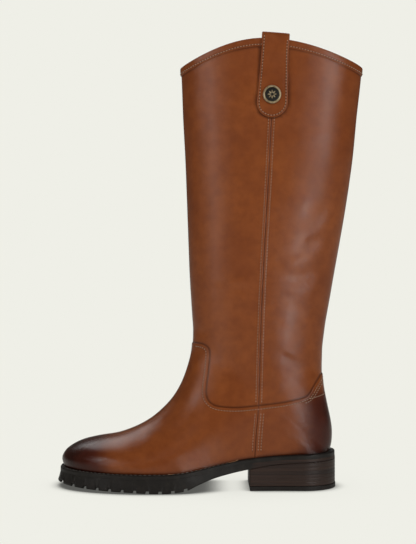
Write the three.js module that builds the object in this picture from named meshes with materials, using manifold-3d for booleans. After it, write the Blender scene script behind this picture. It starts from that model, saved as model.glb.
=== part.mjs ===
// Knee-high pull-on boot for the left foot, standing on its sole.
// Millimetres, +Z up. The toe points along -X and the outer side of the leg faces -Y.
// The origin is the centre of the heel lift's bottom face, on the floor.

import * as THREE from 'three';
import { mergeVertices } from 'three/addons/utils/BufferGeometryUtils.js';
import Module from 'manifold-3d';

const wasm = await Module();
wasm.setup();

// ---------------------------------------------------------------- driving dimensions

const GAP = 0.3;
const WALL = 2.0;
const FOOT_PROUD = 0.6;

const WELT_THICK = 4.1;
const HEEL_FRONT = -42;
const LIFT_THICK = 4.2;
const LIFT_PROUD = 0.4;
const INSOLE_RISE = 1.6;
const INSOLE_CLEAR = 0.9;

const COLLAR_LOW = 404;
const COLLAR_RISE = 23.5;
const COLLAR_FRONT_X = -107.7;
const COLLAR_PEAK_X = -30;
const COLLAR_BACK_X = 67.7;
const BINDING_TALL = 8;
const BINDING_PROUD = 0.8;

const STRAP_THICK = 2.2;
const STRAP_LOW_Z = 352;
const STRAP_TOP_Z = 433;
const STRAP_INSIDE_LOW_Z = 372;
const STRAP_WIDE = 29.4;
const STRAP_NARROW = 26;

const BUTTON_RADIUS = 8.7;
const BUTTON_TALL = 3.2;
const BUTTON_RING_WIDE = 2;
const BUTTON_SEAT = 1.2;
const BUTTON_Z = 373.5;
const BUTTON_FORWARD = 0.8;

const LUG_PITCH = 11.9;
const LUG_GAP = 3.0;
const LUG_DEPTH = 2.4;
const LUG_FIRST_X = -221.3;
const LUG_COUNT = 11;
const LUG_LENGTH = 15;
const CHANNEL_FIRST_X = -213;
const CHANNEL_LAST_X = -107;
const TREAD_SPINE_Y = 3;
const TREAD_SPINE_WIDE = 20;
const WELT_CHAMFER = 1;
const BINDING_ROUND = 1;
const BINDING_CROWN = 0.3;

// Steps of the meshes round the boot, along the sole and round the welt.
const COLUMNS = 36;
const SOLE_STEPS = 56;
const WELT_STEPS = 34;
const INSOLE_STEPS = 40;
const HEEL_STEPS = 20;

// ---------------------------------------------------------------- tables

// Rows of plain numbers turned into objects with the columns' names.
function tableRows(columns, rows) {
  return rows.map((row) => Object.fromEntries(columns.map((name, i) => [name, row[i]])));
}

// Height of the line where the upper meets the welt, and of the tread, along the sole.
// flare is how much further out the sole's edge stands at its lower rim.
const SOLE_LINES = [
  { x: -230, feather: 19.4, tread: 4.2, flare: 2.6 },
  { x: -212, feather: 18.8, tread: 2.4, flare: 2 },
  { x: -186, feather: 17.9, tread: 0.9, flare: 1.2 },
  { x: -160, feather: 17.4, tread: 0.0, flare: 0.8 },
  { x: -124, feather: 17.4, tread: 0.0, flare: 0.6 },
  { x: -104, feather: 18.8, tread: 1.8, flare: 0.4 },
  { x: -90, feather: 21.2, tread: 7.4, flare: 0.2 },
  { x: -76, feather: 24.0, tread: 12.6, flare: 0 },
  { x: -43, feather: 30.0, tread: 20.0, flare: 0 },
  { x: -9, feather: 33.0, tread: 25.2, flare: 0 },
  { x: 18, feather: 34.0, tread: 26.6, flare: 0.3 },
  { x: 45, feather: 35.4, tread: 28.0, flare: 0.3 },
];

// Plan of the feather line: the outer point of a station lies at x + skew, the inner at x - skew.
const TOE = { tip: -220.5, tipShift: 6, fullness: 2.45 };
const FEATHER = [
  { x: -148, skew: 10, outer: 46.4, inner: 45.8, ledge: 4.2 },
  { x: -120, skew: 9, outer: 45.2, inner: 41.6, ledge: 4.2 },
  { x: -95, skew: 6, outer: 39.8, inner: 34.2, ledge: 3.8 },
  { x: -70, skew: 3, outer: 33.4, inner: 28.4, ledge: 3.2 },
  { x: -45, skew: 0, outer: 29.8, inner: 27.0, ledge: 2.8 },
  { x: -20, skew: 0, outer: 28.2, inner: 27.4, ledge: 3.3 },
  { x: 9, skew: 0, outer: 26.8, inner: 26.8, ledge: 5.3 },
];
const HEEL_CENTRE = 9;
const HEEL_RADIUS = 26.8;

// Sections of the last from the toe outline up to the collar. Each lies in a plane square to the
// side view, from a point on the front line to a station of the feather line (open below) or to a
// point on the back line (closed ring). outer and inner are its half widths, at is where along the
// section they are reached, crown and belly are its fullness before and after, ridge shifts its top.
const OPEN_COLUMNS = ['frontX', 'frontZ', 'low', 'outer', 'inner', 'at', 'crown', 'belly', 'ridge'];
const OPEN_SECTIONS = tableRows(OPEN_COLUMNS, [
  [-220.5, 19.1, -148, 46.4, 45.8, 1, 2.45, 2, 6],
  [-222.6, 26.5, -147.6, 46.6, 46, 0.97, 2.4, 2, 6],
  [-219.8, 32.8, -147, 46.9, 46.3, 0.94, 2.4, 2, 6],
  [-213, 38.2, -146, 47.1, 46.5, 0.91, 2.35, 2, 6],
  [-203, 42.9, -144.5, 47.4, 46.6, 0.88, 2.3, 2, 5.5],
  [-188, 46.6, -142, 47.6, 46.6, 0.85, 2.2, 2, 5],
  [-170, 49.6, -138, 47.6, 46.2, 0.82, 2.1, 2, 5],
  [-153, 55.4, -130, 47.2, 44.6, 0.79, 2.05, 2, 4.5],
  [-138, 63.5, -116, 45.6, 41.6, 0.75, 1.95, 2, 4],
  [-125, 74.2, -98, 41.6, 37.4, 0.7, 1.9, 2, 3],
  [-114.6, 86, -76, 37.4, 34, 0.66, 1.9, 2.1, 2],
  [-107, 99, -50, 34.2, 32.2, 0.63, 1.9, 2.2, 1],
  [-101.8, 112.5, -24, 32.8, 31.8, 0.6, 1.9, 2.4, 0.5],
  [-98.6, 124.5, 0, 31.9, 31.6, 0.59, 1.95, 2.5, 0],
  [-97.2, 133, 20, 31.4, 31.4, 0.58, 1.95, 2.6, 0],
  [-96.7, 139, 32, 31.2, 31.2, 0.57, 1.95, 2.6, 0],
  [-96.5, 143, 35.8, 31, 31, 0.56, 1.95, 2.6, 0],
]);
const CLOSED_COLUMNS = ['frontX', 'frontZ', 'backX', 'backZ', 'wide', 'at', 'crown', 'belly'];
const CLOSED_SECTIONS = tableRows(CLOSED_COLUMNS, [
  [-96.5, 146.5, 37.4, 44, 30.9, 0.56, 1.95, 2.5],
  [-96.5, 150, 37.9, 53, 30.8, 0.55, 1.95, 2.4],
  [-96.6, 155, 36.4, 65, 30.6, 0.55, 1.95, 2.3],
  [-97, 161, 33.1, 81, 30.3, 0.54, 1.95, 2.2],
  [-97.5, 169, 30.3, 96.5, 30.1, 0.53, 1.95, 2.1],
  [-98.1, 179, 28.9, 113, 30, 0.52, 1.95, 2],
  [-98.8, 191, 29.2, 130, 30.1, 0.51, 1.95, 1.95],
  [-99.5, 206, 31.9, 153, 30.5, 0.5, 1.95, 1.95],
  [-100.3, 227, 37.2, 183, 31.2, 0.5, 1.95, 1.95],
  [-101.4, 254, 44.6, 226, 32.2, 0.5, 1.9, 1.95],
  [-102.5, 284, 52.2, 272, 33, 0.5, 1.9, 1.9],
  [-103.6, 318, 59, 318, 33.5, 0.5, 1.85, 1.9],
  [-105.3, 354, 62.8, 354, 33.4, 0.5, 1.85, 1.85],
  [-107.7, 404, 67.7, 404, 33, 0.5, 1.85, 1.85],
  [-109.1, 435, 69.6, 435, 32.8, 0.5, 1.85, 1.85],
]);
const LEVEL_ROW = OPEN_SECTIONS.length + 11;
const HEEL_ROW = OPEN_SECTIONS.length - 1;

// Top seam of the foot, seen from the side, from the front line to the back line.
const TOP_SEAM = [
  { x: -240, z: 138.4 },
  { x: -110, z: 138.4 },
  { x: -92, z: 138.2 },
  { x: -84.5, z: 136.5 },
  { x: -80.3, z: 131 },
  { x: -81, z: 115 },
  { x: -83.2, z: 98 },
  { x: -83, z: 89 },
  { x: -79.5, z: 83 },
  { x: -72, z: 79.6 },
  { x: -55, z: 78.4 },
  { x: -34, z: 80.2 },
  { x: -10, z: 83.2 },
  { x: 6, z: 86.6 },
  { x: 13.5, z: 89.4 },
  { x: 19, z: 96.5 },
  { x: 24.5, z: 104.5 },
  { x: 31, z: 109.8 },
  { x: 60, z: 116 },
];

// Side seam, which the straps are centred on.
const SIDE_SEAM = [
  { z: 113, x: -32.8 },
  { z: 176, x: -30.7 },
  { z: 226, x: -28.3 },
  { z: 282, x: -25.2 },
  { z: 348, x: -21.8 },
  { z: 436, x: -17.2 },
];

// ---------------------------------------------------------------- curves through tables

// Smooth curve through a table's column that never overshoots its rows.
function curveThrough(keys, values) {
  const last = keys.length - 1;
  const rises = [];
  for (let i = 0; i < last; i += 1) {
    rises.push((values[i + 1] - values[i]) / (keys[i + 1] - keys[i]));
  }
  const slopes = [rises[0]];
  for (let i = 1; i < last; i += 1) {
    const before = rises[i - 1];
    const after = rises[i];
    slopes.push(before * after > 0 ? (2 * before * after) / (before + after) : 0);
  }
  slopes.push(rises[last - 1]);
  return (key) => {
    let i = 0;
    while (i < last - 1 && key > keys[i + 1]) {
      i += 1;
    }
    const span = keys[i + 1] - keys[i];
    const t = (key - keys[i]) / span;
    if (t < 0) {
      return values[0] + slopes[0] * (key - keys[0]);
    }
    if (t > 1) {
      return values[last] + slopes[last] * (key - keys[last]);
    }
    const t2 = t * t;
    const t3 = t2 * t;
    const start = (2 * t3 - 3 * t2 + 1) * values[i] + (t3 - 2 * t2 + t) * span * slopes[i];
    const end = (3 * t2 - 2 * t3) * values[i + 1] + (t3 - t2) * span * slopes[i + 1];
    return start + end;
  };
}

function column(rows, key, name) {
  return curveThrough(rows.map((row) => row[key]), rows.map((row) => row[name]));
}

const featherZ = column(SOLE_LINES, 'x', 'feather');
const treadZ = column(SOLE_LINES, 'x', 'tread');
const soleFlare = column(SOLE_LINES, 'x', 'flare');
const featherSkew = column(FEATHER, 'x', 'skew');
const featherOuter = column(FEATHER, 'x', 'outer');
const featherInner = column(FEATHER, 'x', 'inner');
const featherLedge = column(FEATHER, 'x', 'ledge');
const seamX = column(SIDE_SEAM, 'z', 'x');

// ---------------------------------------------------------------- plan of the sole

const OUTER = -1;
const INNER = 1;

// Half width of the feather line at a station from the ball to the heel's back.
function featherHalf(low, side) {
  if (low > HEEL_CENTRE) {
    const reach = Math.min(1, (low - HEEL_CENTRE) / HEEL_RADIUS);
    return HEEL_RADIUS * Math.sqrt(1 - reach * reach);
  }
  return side === OUTER ? featherOuter(low) : featherInner(low);
}

function featherPoint(low, side) {
  const skew = low > HEEL_CENTRE ? 0 : featherSkew(low);
  return new THREE.Vector2(low - side * skew, side * featherHalf(low, side));
}

// Point of the toe's plan, where angle runs from 0 at the tip to a right angle at the ball.
function toePoint(angle, side) {
  const ball = featherPoint(FEATHER[0].x, side);
  const along = 1 - Math.cos(angle);
  const half = Math.abs(ball.y) * Math.sin(angle) ** (2 / TOE.fullness);
  const shift = TOE.tipShift * (1 - along) ** 2;
  return new THREE.Vector2(TOE.tip + (ball.x - TOE.tip) * along, side * half + shift);
}

// The feather line of one side as a curve of t: 0 is the toe tip and 1 the heel's back.
const TOE_SHARE = 0.3;
const HEEL_SHARE = 0.16;
function planPoint(t, side) {
  if (t < TOE_SHARE) {
    return toePoint((t / TOE_SHARE) * Math.PI / 2, side);
  }
  if (t > 1 - HEEL_SHARE) {
    const angle = ((t - 1 + HEEL_SHARE) / HEEL_SHARE) * Math.PI / 2;
    return featherPoint(HEEL_CENTRE + HEEL_RADIUS * Math.sin(angle), side);
  }
  const share = (t - TOE_SHARE) / (1 - TOE_SHARE - HEEL_SHARE);
  return featherPoint(FEATHER[0].x + (HEEL_CENTRE - FEATHER[0].x) * share, side);
}

// The same point moved outwards, square to the line, by a distance that may vary along the sole.
function planOffset(t, side, reach) {
  const step = 0.004;
  const here = planPoint(t, side);
  const ahead = t + step > 1 ? planPoint(2 - t - step, -side) : planPoint(t + step, side);
  const behind = t < step ? planPoint(step - t, -side) : planPoint(t - step, side);
  const along = ahead.clone().sub(behind).normalize();
  const out = new THREE.Vector2(along.y, -along.x).multiplyScalar(-side);
  const distance = typeof reach === 'function' ? reach(here.x) : reach;
  return here.clone().addScaledVector(out, distance);
}

function ledge(x) {
  return x > HEEL_CENTRE ? FEATHER.at(-1).ledge : x < FEATHER[0].x ? FEATHER[0].ledge : featherLedge(x);
}

// ---------------------------------------------------------------- the last

const SECTIONS = [
  ...OPEN_SECTIONS.map((row) => ({ ...row, backX: row.low, backZ: featherZ(row.low) })),
  ...CLOSED_SECTIONS.map((row) => ({ ...row, outer: row.wide, inner: row.wide, ridge: 0 })),
];
const ROWS = SECTIONS.map((row, index) => ({ ...row, index }));
const SHAPE_NAMES = ['outer', 'inner', 'at', 'crown', 'belly', 'ridge'];
const LAST_COLUMNS = {};
for (const name of ['frontX', 'frontZ', 'backX', 'backZ', ...SHAPE_NAMES]) {
  LAST_COLUMNS[name] = column(ROWS, 'index', name);
}

// The section at a place between the rows, with its lower end on the feather line where it is open.
function sectionAt(place) {
  const section = {};
  for (const name of Object.keys(LAST_COLUMNS)) {
    section[name] = LAST_COLUMNS[name](place);
  }
  section.open = place < HEEL_ROW;
  section.skew = 0;
  if (section.open) {
    section.backZ = featherZ(section.backX);
    section.skew = section.backX > HEEL_CENTRE ? 0 : featherSkew(section.backX);
  }
  return section;
}

// Half width of a section on one side, at a fraction of the way from its front to its back.
function sectionHalf(section, fraction, side) {
  const wide = side === OUTER ? section.outer : section.inner;
  if (fraction <= section.at) {
    const rest = 1 - fraction / section.at;
    return wide * Math.max(0, 1 - rest * rest) ** (1 / section.crown);
  }
  const foot = section.open ? featherHalf(section.backX, side) : 0;
  const past = Math.min(1, (fraction - section.at) / (1 - section.at));
  const power = section.belly;
  return (foot ** power + (wide ** power - foot ** power) * (1 - past * past)) ** (1 / power);
}

// Point of the last's surface. turn runs from -1 through 0 at the front to 1, outer side first.
function lastPoint(place, turn) {
  const section = sectionAt(place);
  const side = turn < 0 ? OUTER : INNER;
  const share = Math.abs(turn);
  const split = section.at;
  const fraction = share <= split
    ? section.at * (1 - Math.cos((share / split) * Math.PI / 2))
    : section.at + (1 - section.at) * Math.sin(((share - split) / (1 - split)) * Math.PI / 2);
  return sectionPoint(section, place, Math.min(1, fraction), side);
}

function sectionPoint(section, place, fraction, side) {
  const half = sectionHalf(section, fraction, side);
  const lean = Math.max(0, 1 - fraction / section.at);
  const x = section.frontX + (section.backX - section.frontX) * fraction - side * section.skew * fraction;
  const y = side * half + section.ridge * lean * lean;
  let z = section.frontZ + (section.backZ - section.frontZ) * fraction;
  if (place <= 0 || (section.open && fraction >= 1)) {
    z = featherZ(x);
  }
  return new THREE.Vector3(x, y, z);
}

function collarZ(x) {
  const end = x < COLLAR_PEAK_X ? COLLAR_FRONT_X : COLLAR_BACK_X;
  const share = Math.min(1, (x - COLLAR_PEAK_X) / (end - COLLAR_PEAK_X));
  return COLLAR_LOW + COLLAR_RISE * Math.cos(share * Math.PI / 2);
}

// Place among the rows of the level section at a height in the upper shaft.
function placeAtHeight(z) {
  let low = LEVEL_ROW;
  let high = ROWS.length - 1;
  for (let i = 0; i < 30; i += 1) {
    const middle = (low + high) / 2;
    if (LAST_COLUMNS.frontZ(middle) < z) {
      low = middle;
    } else {
      high = middle;
    }
  }
  return (low + high) / 2;
}

// Point of the upper shaft where lift is 0 at the first level section and 1 at the collar's edge.
function shaftPoint(lift, turn, drop = 0) {
  const base = LAST_COLUMNS.frontZ(LEVEL_ROW);
  let point = lastPoint(placeAtHeight(COLLAR_LOW), turn);
  for (let i = 0; i < 4; i += 1) {
    const z = base + (collarZ(point.x) - drop - base) * lift;
    point = lastPoint(placeAtHeight(z), turn);
  }
  return point;
}

// The whole boot as one grid: place up to the first level section, then lift up to the collar.
function bootPoint(row, turn, drop) {
  return row <= LEVEL_ROW ? lastPoint(row, turn) : shaftPoint(row - LEVEL_ROW, turn, drop);
}

// A turn a little further on. Closed rows run on round the back and open ones stop at their ends.
function turnedOn(row, turn, step) {
  const next = turn + step;
  if (Math.abs(next) <= 1) {
    return next;
  }
  return row >= HEEL_ROW ? next - 2 * Math.sign(next) : Math.sign(next);
}

// Outward normal of that grid.
function bootNormal(row, turn, drop) {
  const stepRow = 0.03;
  const stepTurn = 0.02;
  const top = LEVEL_ROW + 1;
  const above = bootPoint(Math.min(top, row + stepRow), turn, drop);
  const below = bootPoint(Math.max(0, row - stepRow), turn, drop);
  const ahead = bootPoint(row, turnedOn(row, turn, stepTurn), drop);
  const behind = bootPoint(row, turnedOn(row, turn, -stepTurn), drop);
  const alongTurn = ahead.sub(behind);
  return above.sub(below).cross(alongTurn).normalize();
}

// ---------------------------------------------------------------- solids from grids

function solidFromTriangles(points, triangles) {
  const geometry = new THREE.BufferGeometry();
  const flat = points.flatMap((point) => [point.x, point.y, point.z]);
  geometry.setAttribute('position', new THREE.Float32BufferAttribute(flat, 3));
  geometry.setIndex(triangles.flat());
  return solidFromGeometry(geometry);
}

function solidFromGeometry(geometry) {
  geometry.deleteAttribute('normal');
  geometry.deleteAttribute('uv');
  const merged = mergeVertices(geometry, 1e-4);
  const index = merged.index.array;
  const kept = [];
  for (let i = 0; i < index.length; i += 3) {
    const [a, b, c] = [index[i], index[i + 1], index[i + 2]];
    if (a !== b && b !== c && c !== a) {
      kept.push(a, b, c);
    }
  }
  return new wasm.Manifold(new wasm.Mesh({
    numProp: 3,
    vertProperties: new Float32Array(merged.attributes.position.array),
    triVerts: new Uint32Array(kept),
  }));
}

function geometryFromSolid(solid) {
  const mesh = solid.getMesh();
  const geometry = new THREE.BufferGeometry();
  geometry.setAttribute('position', new THREE.Float32BufferAttribute(mesh.vertProperties, 3));
  geometry.setIndex(Array.from(mesh.triVerts));
  geometry.computeVertexNormals();
  return geometry;
}

// A solid that faces out, whichever way round its triangles were listed.
function solidEitherWay(points, triangles) {
  const solid = solidFromTriangles(points, triangles);
  return solid.volume() > 0 ? solid : solidFromTriangles(points, triangles.map(([a, b, c]) => [a, c, b]));
}

// Closed solid through loops of points, each with the same count, capped at both ends by fans.
function solidThroughLoops(loops, joinEnds = false) {
  const count = loops[0].length;
  const points = loops.flat();
  const triangles = [];
  const steps = joinEnds ? loops.length : loops.length - 1;
  for (let i = 0; i < steps; i += 1) {
    const here = i * count;
    const there = ((i + 1) % loops.length) * count;
    for (let j = 0; j < count; j += 1) {
      const k = (j + 1) % count;
      triangles.push([here + j, here + k, there + k]);
      triangles.push([here + j, there + k, there + j]);
    }
  }
  if (!joinEnds) {
    const last = (loops.length - 1) * count;
    for (let j = 1; j < count - 1; j += 1) {
      triangles.push([0, j + 1, j]);
      triangles.push([last, last + j, last + j + 1]);
    }
  }
  return solidEitherWay(points, triangles);
}

// The boot's wall between two distances from the last, from one grid row up to another.
function wallSolid(rows, outside, inside, drop = 0) {
  const width = COLUMNS + 1;
  const turns = Array.from({ length: width }, (_, j) => (2 * j) / COLUMNS - 1);
  const faces = [outside, inside].map((distance) => rows.flatMap((row) => turns.map((turn) => {
    const point = bootPoint(row, turn, drop).addScaledVector(bootNormal(row, turn, drop), distance);
    const edge = row === 0 || (row <= HEEL_ROW && Math.abs(turn) === 1);
    const lowest = featherZ(point.x) + GAP;
    point.z = edge ? lowest : Math.max(point.z, lowest);
    return point;
  })));
  const points = faces.flat();
  const inner = rows.length * width;
  const spot = (i, j) => {
    const closed = rows[i] >= HEEL_ROW && j === COLUMNS;
    return i * width + (closed ? 0 : j);
  };
  const triangles = [];
  const quad = (a, b, c, d) => triangles.push([a, b, c], [a, c, d]);
  const top = rows.length - 1;
  for (let i = 0; i < top; i += 1) {
    for (let j = 0; j < COLUMNS; j += 1) {
      quad(spot(i, j), spot(i, j + 1), spot(i + 1, j + 1), spot(i + 1, j));
      quad(inner + spot(i, j), inner + spot(i + 1, j), inner + spot(i + 1, j + 1), inner + spot(i, j + 1));
    }
    if (rows[i] < HEEL_ROW) {
      quad(spot(i, 0), spot(i + 1, 0), inner + spot(i + 1, 0), inner + spot(i, 0));
      quad(spot(i, COLUMNS), inner + spot(i, COLUMNS), inner + spot(i + 1, COLUMNS), spot(i + 1, COLUMNS));
    }
  }
  for (let j = 0; j < COLUMNS; j += 1) {
    quad(spot(0, j), inner + spot(0, j), inner + spot(0, j + 1), spot(0, j + 1));
    quad(spot(top, j), spot(top, j + 1), inner + spot(top, j + 1), inner + spot(top, j));
  }
  return solidEitherWay(points, triangles);
}

// ---------------------------------------------------------------- upper, shaft and binding

const DEEP = 140;
const BELOW_FLOOR = -40;
const SHAFT_FIRST_ROW = 9;

// Everything below (or above) a line drawn in the side view, as a block cut square to that view.
function sideBlock(line, floorZ) {
  const outline = new THREE.Shape();
  outline.moveTo(line[0].x, floorZ);
  line.forEach((row) => outline.lineTo(row.x, row.z));
  outline.lineTo(line.at(-1).x, floorZ);
  const geometry = new THREE.ExtrudeGeometry(outline, { depth: DEEP, bevelEnabled: false });
  geometry.translate(0, 0, -DEEP / 2);
  geometry.rotateX(Math.PI / 2);
  return solidFromGeometry(geometry);
}

// A smooth line with more points, moved square to itself.
function refinedLine(rows, shift, parts) {
  const points = rows.map((row) => new THREE.Vector3(row.x, 0, row.z));
  const curve = new THREE.CatmullRomCurve3(points, false, 'centripetal');
  const total = rows.length * parts;
  return Array.from({ length: total + 1 }, (_, i) => {
    const point = curve.getPoint(i / total);
    const along = curve.getTangent(i / total);
    return { x: point.x - along.z * shift, z: point.z + along.x * shift };
  });
}

const SHAFT_LIFTS = [0.3, 0.65, 1];
const FOOT_ROWS = [
  0, 0.6, 1.2, 1.8, 2.5, 3.2, 4, 5, 6, 7, 8, 9, 10, 11, 12, 13, 13.5, 14, 14.5, 15, 15.5, 16,
  16.8, 17.8, 19, 20.3, 21.8, 23.5, 25.5, 28,
];
const FOOT_TOP_ROW = 23.5;

function upperSolid() {
  const rows = FOOT_ROWS.filter((row) => row <= FOOT_TOP_ROW);
  const wall = wallSolid(rows, FOOT_PROUD, -WALL);
  return wall.intersect(sideBlock(refinedLine(TOP_SEAM, -GAP / 2, 2), BELOW_FLOOR));
}

function shaftSolid() {
  const low = FOOT_ROWS.filter((row) => row >= SHAFT_FIRST_ROW);
  const high = SHAFT_LIFTS.map((lift) => LEVEL_ROW + lift);
  const wall = wallSolid([...low, ...high], 0, -WALL, BINDING_TALL + GAP);
  return wall.subtract(sideBlock(refinedLine(TOP_SEAM, GAP / 2, 2), BELOW_FLOOR));
}

function bindingSolid() {
  const turns = Array.from({ length: COLUMNS }, (_, j) => (2 * j) / COLUMNS - 1);
  const top = LEVEL_ROW + 1;
  const loops = turns.map((turn) => {
    const corner = (distance, drop, rise) => {
      const point = bootPoint(top, turn, drop).addScaledVector(bootNormal(top, turn, drop), distance);
      point.z += rise;
      return point;
    };
    return [
      corner(BINDING_PROUD, BINDING_TALL, 0),
      corner(BINDING_PROUD, BINDING_ROUND, 0),
      corner(BINDING_PROUD - BINDING_ROUND, 0, BINDING_CROWN),
      corner(BINDING_ROUND - WALL - BINDING_PROUD, 0, BINDING_CROWN),
      corner(-WALL - BINDING_PROUD, BINDING_ROUND, 0),
      corner(-WALL - BINDING_PROUD, BINDING_TALL, 0),
    ];
  });
  return solidThroughLoops(loops, true);
}

// ---------------------------------------------------------------- sole

// A plate between two heights over the sole's plan, from one share of the length to another.
function plateSolid(first, last, steps, reach, topZ, bottomZ, lowerReach = reach) {
  const loops = [];
  for (let i = 0; i <= steps; i += 1) {
    const t = first + ((last - first) * i) / steps;
    const corner = (side, distance, height) => {
      const place = planOffset(t, side, distance);
      return new THREE.Vector3(place.x, place.y, height(place.x));
    };
    loops.push([
      corner(OUTER, lowerReach, bottomZ),
      corner(INNER, lowerReach, bottomZ),
      corner(INNER, reach, topZ),
      corner(OUTER, reach, topZ),
    ]);
  }
  return solidThroughLoops(loops);
}

function soleRim(x) {
  return ledge(x) + soleFlare(x);
}

function weltSolid() {
  const loops = [];
  const around = [];
  for (let i = 0; i < WELT_STEPS; i += 1) {
    around.push({ t: i / WELT_STEPS, side: OUTER });
  }
  for (let i = 0; i < WELT_STEPS; i += 1) {
    around.push({ t: 1 - i / WELT_STEPS, side: INNER });
  }
  for (const { t, side } of around) {
    const outside = planOffset(t, side, ledge);
    const shoulder = planOffset(t, side, (x) => ledge(x) - WELT_CHAMFER);
    const inside = planOffset(t, side, -WALL - GAP);
    loops.push([
      new THREE.Vector3(inside.x, inside.y, featherZ(inside.x) - WELT_THICK),
      new THREE.Vector3(outside.x, outside.y, featherZ(outside.x) - WELT_THICK),
      new THREE.Vector3(outside.x, outside.y, featherZ(outside.x) - WELT_CHAMFER),
      new THREE.Vector3(shoulder.x, shoulder.y, featherZ(shoulder.x)),
      new THREE.Vector3(inside.x, inside.y, featherZ(inside.x)),
    ]);
  }
  return solidThroughLoops(loops, true);
}

function boxSolid(centre, size) {
  const geometry = new THREE.BoxGeometry(size.x, size.y, size.z);
  geometry.translate(centre.x, centre.y, centre.z);
  return solidFromGeometry(geometry);
}

// Shares of the sole's length between which the tread's channel and its middle blocks lie.
const CHANNEL_START = 0.08;
const CHANNEL_END = 0.5;
const BLOCKS_START = 0.1;
const BLOCKS_END = 0.46;
const CHANNEL_STEPS = 20;
const ACROSS = 200;
const UNDER = 10;

// Everything under the tread between two x, up to a height.
function crossBar(x, length, top) {
  const bottom = -UNDER;
  const size = new THREE.Vector3(length, ACROSS, top - bottom);
  return boxSolid(new THREE.Vector3(x, 0, (top + bottom) / 2), size);
}

// The plate of the sole, cut by grooves in from its edge and by a channel inside them, with blocks
// in the channel's middle. The spine is the strip the grooves do not cross.
function outsoleSolid() {
  const top = (x) => featherZ(x) - WELT_THICK - GAP;
  const grooveTop = (x) => treadZ(x) + LUG_DEPTH;
  const plate = plateSolid(0, 1, SOLE_STEPS, ledge, top, treadZ, soleRim);
  const channelLength = CHANNEL_LAST_X - CHANNEL_FIRST_X;
  const channelZone = crossBar((CHANNEL_FIRST_X + CHANNEL_LAST_X) / 2, channelLength, UNDER);
  const under = () => -UNDER;
  const inside = plateSolid(CHANNEL_START, CHANNEL_END, CHANNEL_STEPS, -LUG_LENGTH, grooveTop, under);
  const spineX = LUG_FIRST_X + ACROSS / 2 - LUG_PITCH;
  const spineSize = new THREE.Vector3(ACROSS, TREAD_SPINE_WIDE, ACROSS);
  const spine = boxSolid(new THREE.Vector3(spineX, TREAD_SPINE_Y, 0), spineSize);
  const grooves = [];
  const bars = [];
  for (let i = 0; i < LUG_COUNT; i += 1) {
    const x = LUG_FIRST_X + i * LUG_PITCH;
    grooves.push(crossBar(x, LUG_GAP, grooveTop(x)));
    bars.push(crossBar(x + LUG_PITCH / 2, LUG_PITCH - LUG_GAP, UNDER));
  }
  const allGrooves = grooves.reduce((sum, groove) => sum.add(groove)).subtract(spine);
  const allBars = bars.reduce((sum, bar) => sum.add(bar));
  const blockReach = -LUG_LENGTH - LUG_GAP;
  const blockTop = (x) => grooveTop(x) + LUG_DEPTH;
  const blocks = plateSolid(BLOCKS_START, BLOCKS_END, CHANNEL_STEPS, blockReach, blockTop, treadZ);
  return plate.subtract(inside.intersect(channelZone)).subtract(allGrooves).add(blocks.intersect(allBars));
}

function insoleSolid() {
  const top = (x) => featherZ(x) + INSOLE_RISE;
  const bottom = (x) => featherZ(x) - WELT_THICK + GAP;
  return plateSolid(0, 1, INSOLE_STEPS, -WALL - INSOLE_CLEAR, top, bottom);
}

// Share of the sole's length at the heel's front face.
const HEEL_SHARE_START = TOE_SHARE
  + ((HEEL_FRONT - FEATHER[0].x) / (HEEL_CENTRE - FEATHER[0].x)) * (1 - TOE_SHARE - HEEL_SHARE);

function heelStackSolid() {
  const top = (x) => treadZ(x) - GAP;
  const bottom = () => LIFT_THICK + GAP;
  return plateSolid(HEEL_SHARE_START, 1, HEEL_STEPS, soleRim, top, bottom);
}

function heelLiftSolid() {
  const reach = (x) => soleRim(x) + LIFT_PROUD;
  return plateSolid(HEEL_SHARE_START, 1, HEEL_STEPS, reach, () => LIFT_THICK, () => 0);
}

// ---------------------------------------------------------------- pull straps and button

// Half width of the shaft on one side at a place of the side view in its level part.
function shaftHalf(x, z, side) {
  const section = sectionAt(placeAtHeight(z));
  const fraction = (x - section.frontX) / (section.backX - section.frontX);
  return sectionHalf(section, fraction, side);
}

// Point at a distance outside the shaft's surface.
function offShaft(x, z, side, distance) {
  const step = 1;
  const slopeX = (shaftHalf(x + step, z, side) - shaftHalf(x - step, z, side)) / (2 * step);
  const slopeZ = (shaftHalf(x, z + step, side) - shaftHalf(x, z - step, side)) / (2 * step);
  const normal = new THREE.Vector3(-slopeX, side, -slopeZ).normalize();
  return new THREE.Vector3(x, side * shaftHalf(x, z, side), z).addScaledVector(normal, distance);
}

const STRAP_COLUMNS = 6;
const STRAP_CLEAR = 1.3 * GAP + BINDING_PROUD;

// Heights at which the strap narrows above its round end, and where it rises over the binding.
const STRAP_TAPER = [
  { z: 392, narrower: 0.6 },
  { z: 406, narrower: 1.1 },
];
const STRAP_OVER_Z = 414;
const STRAP_END_DEGREES = [8, 25, 45, 65, 90];
const STRAP_FOLD_STEPS = 6;

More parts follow.
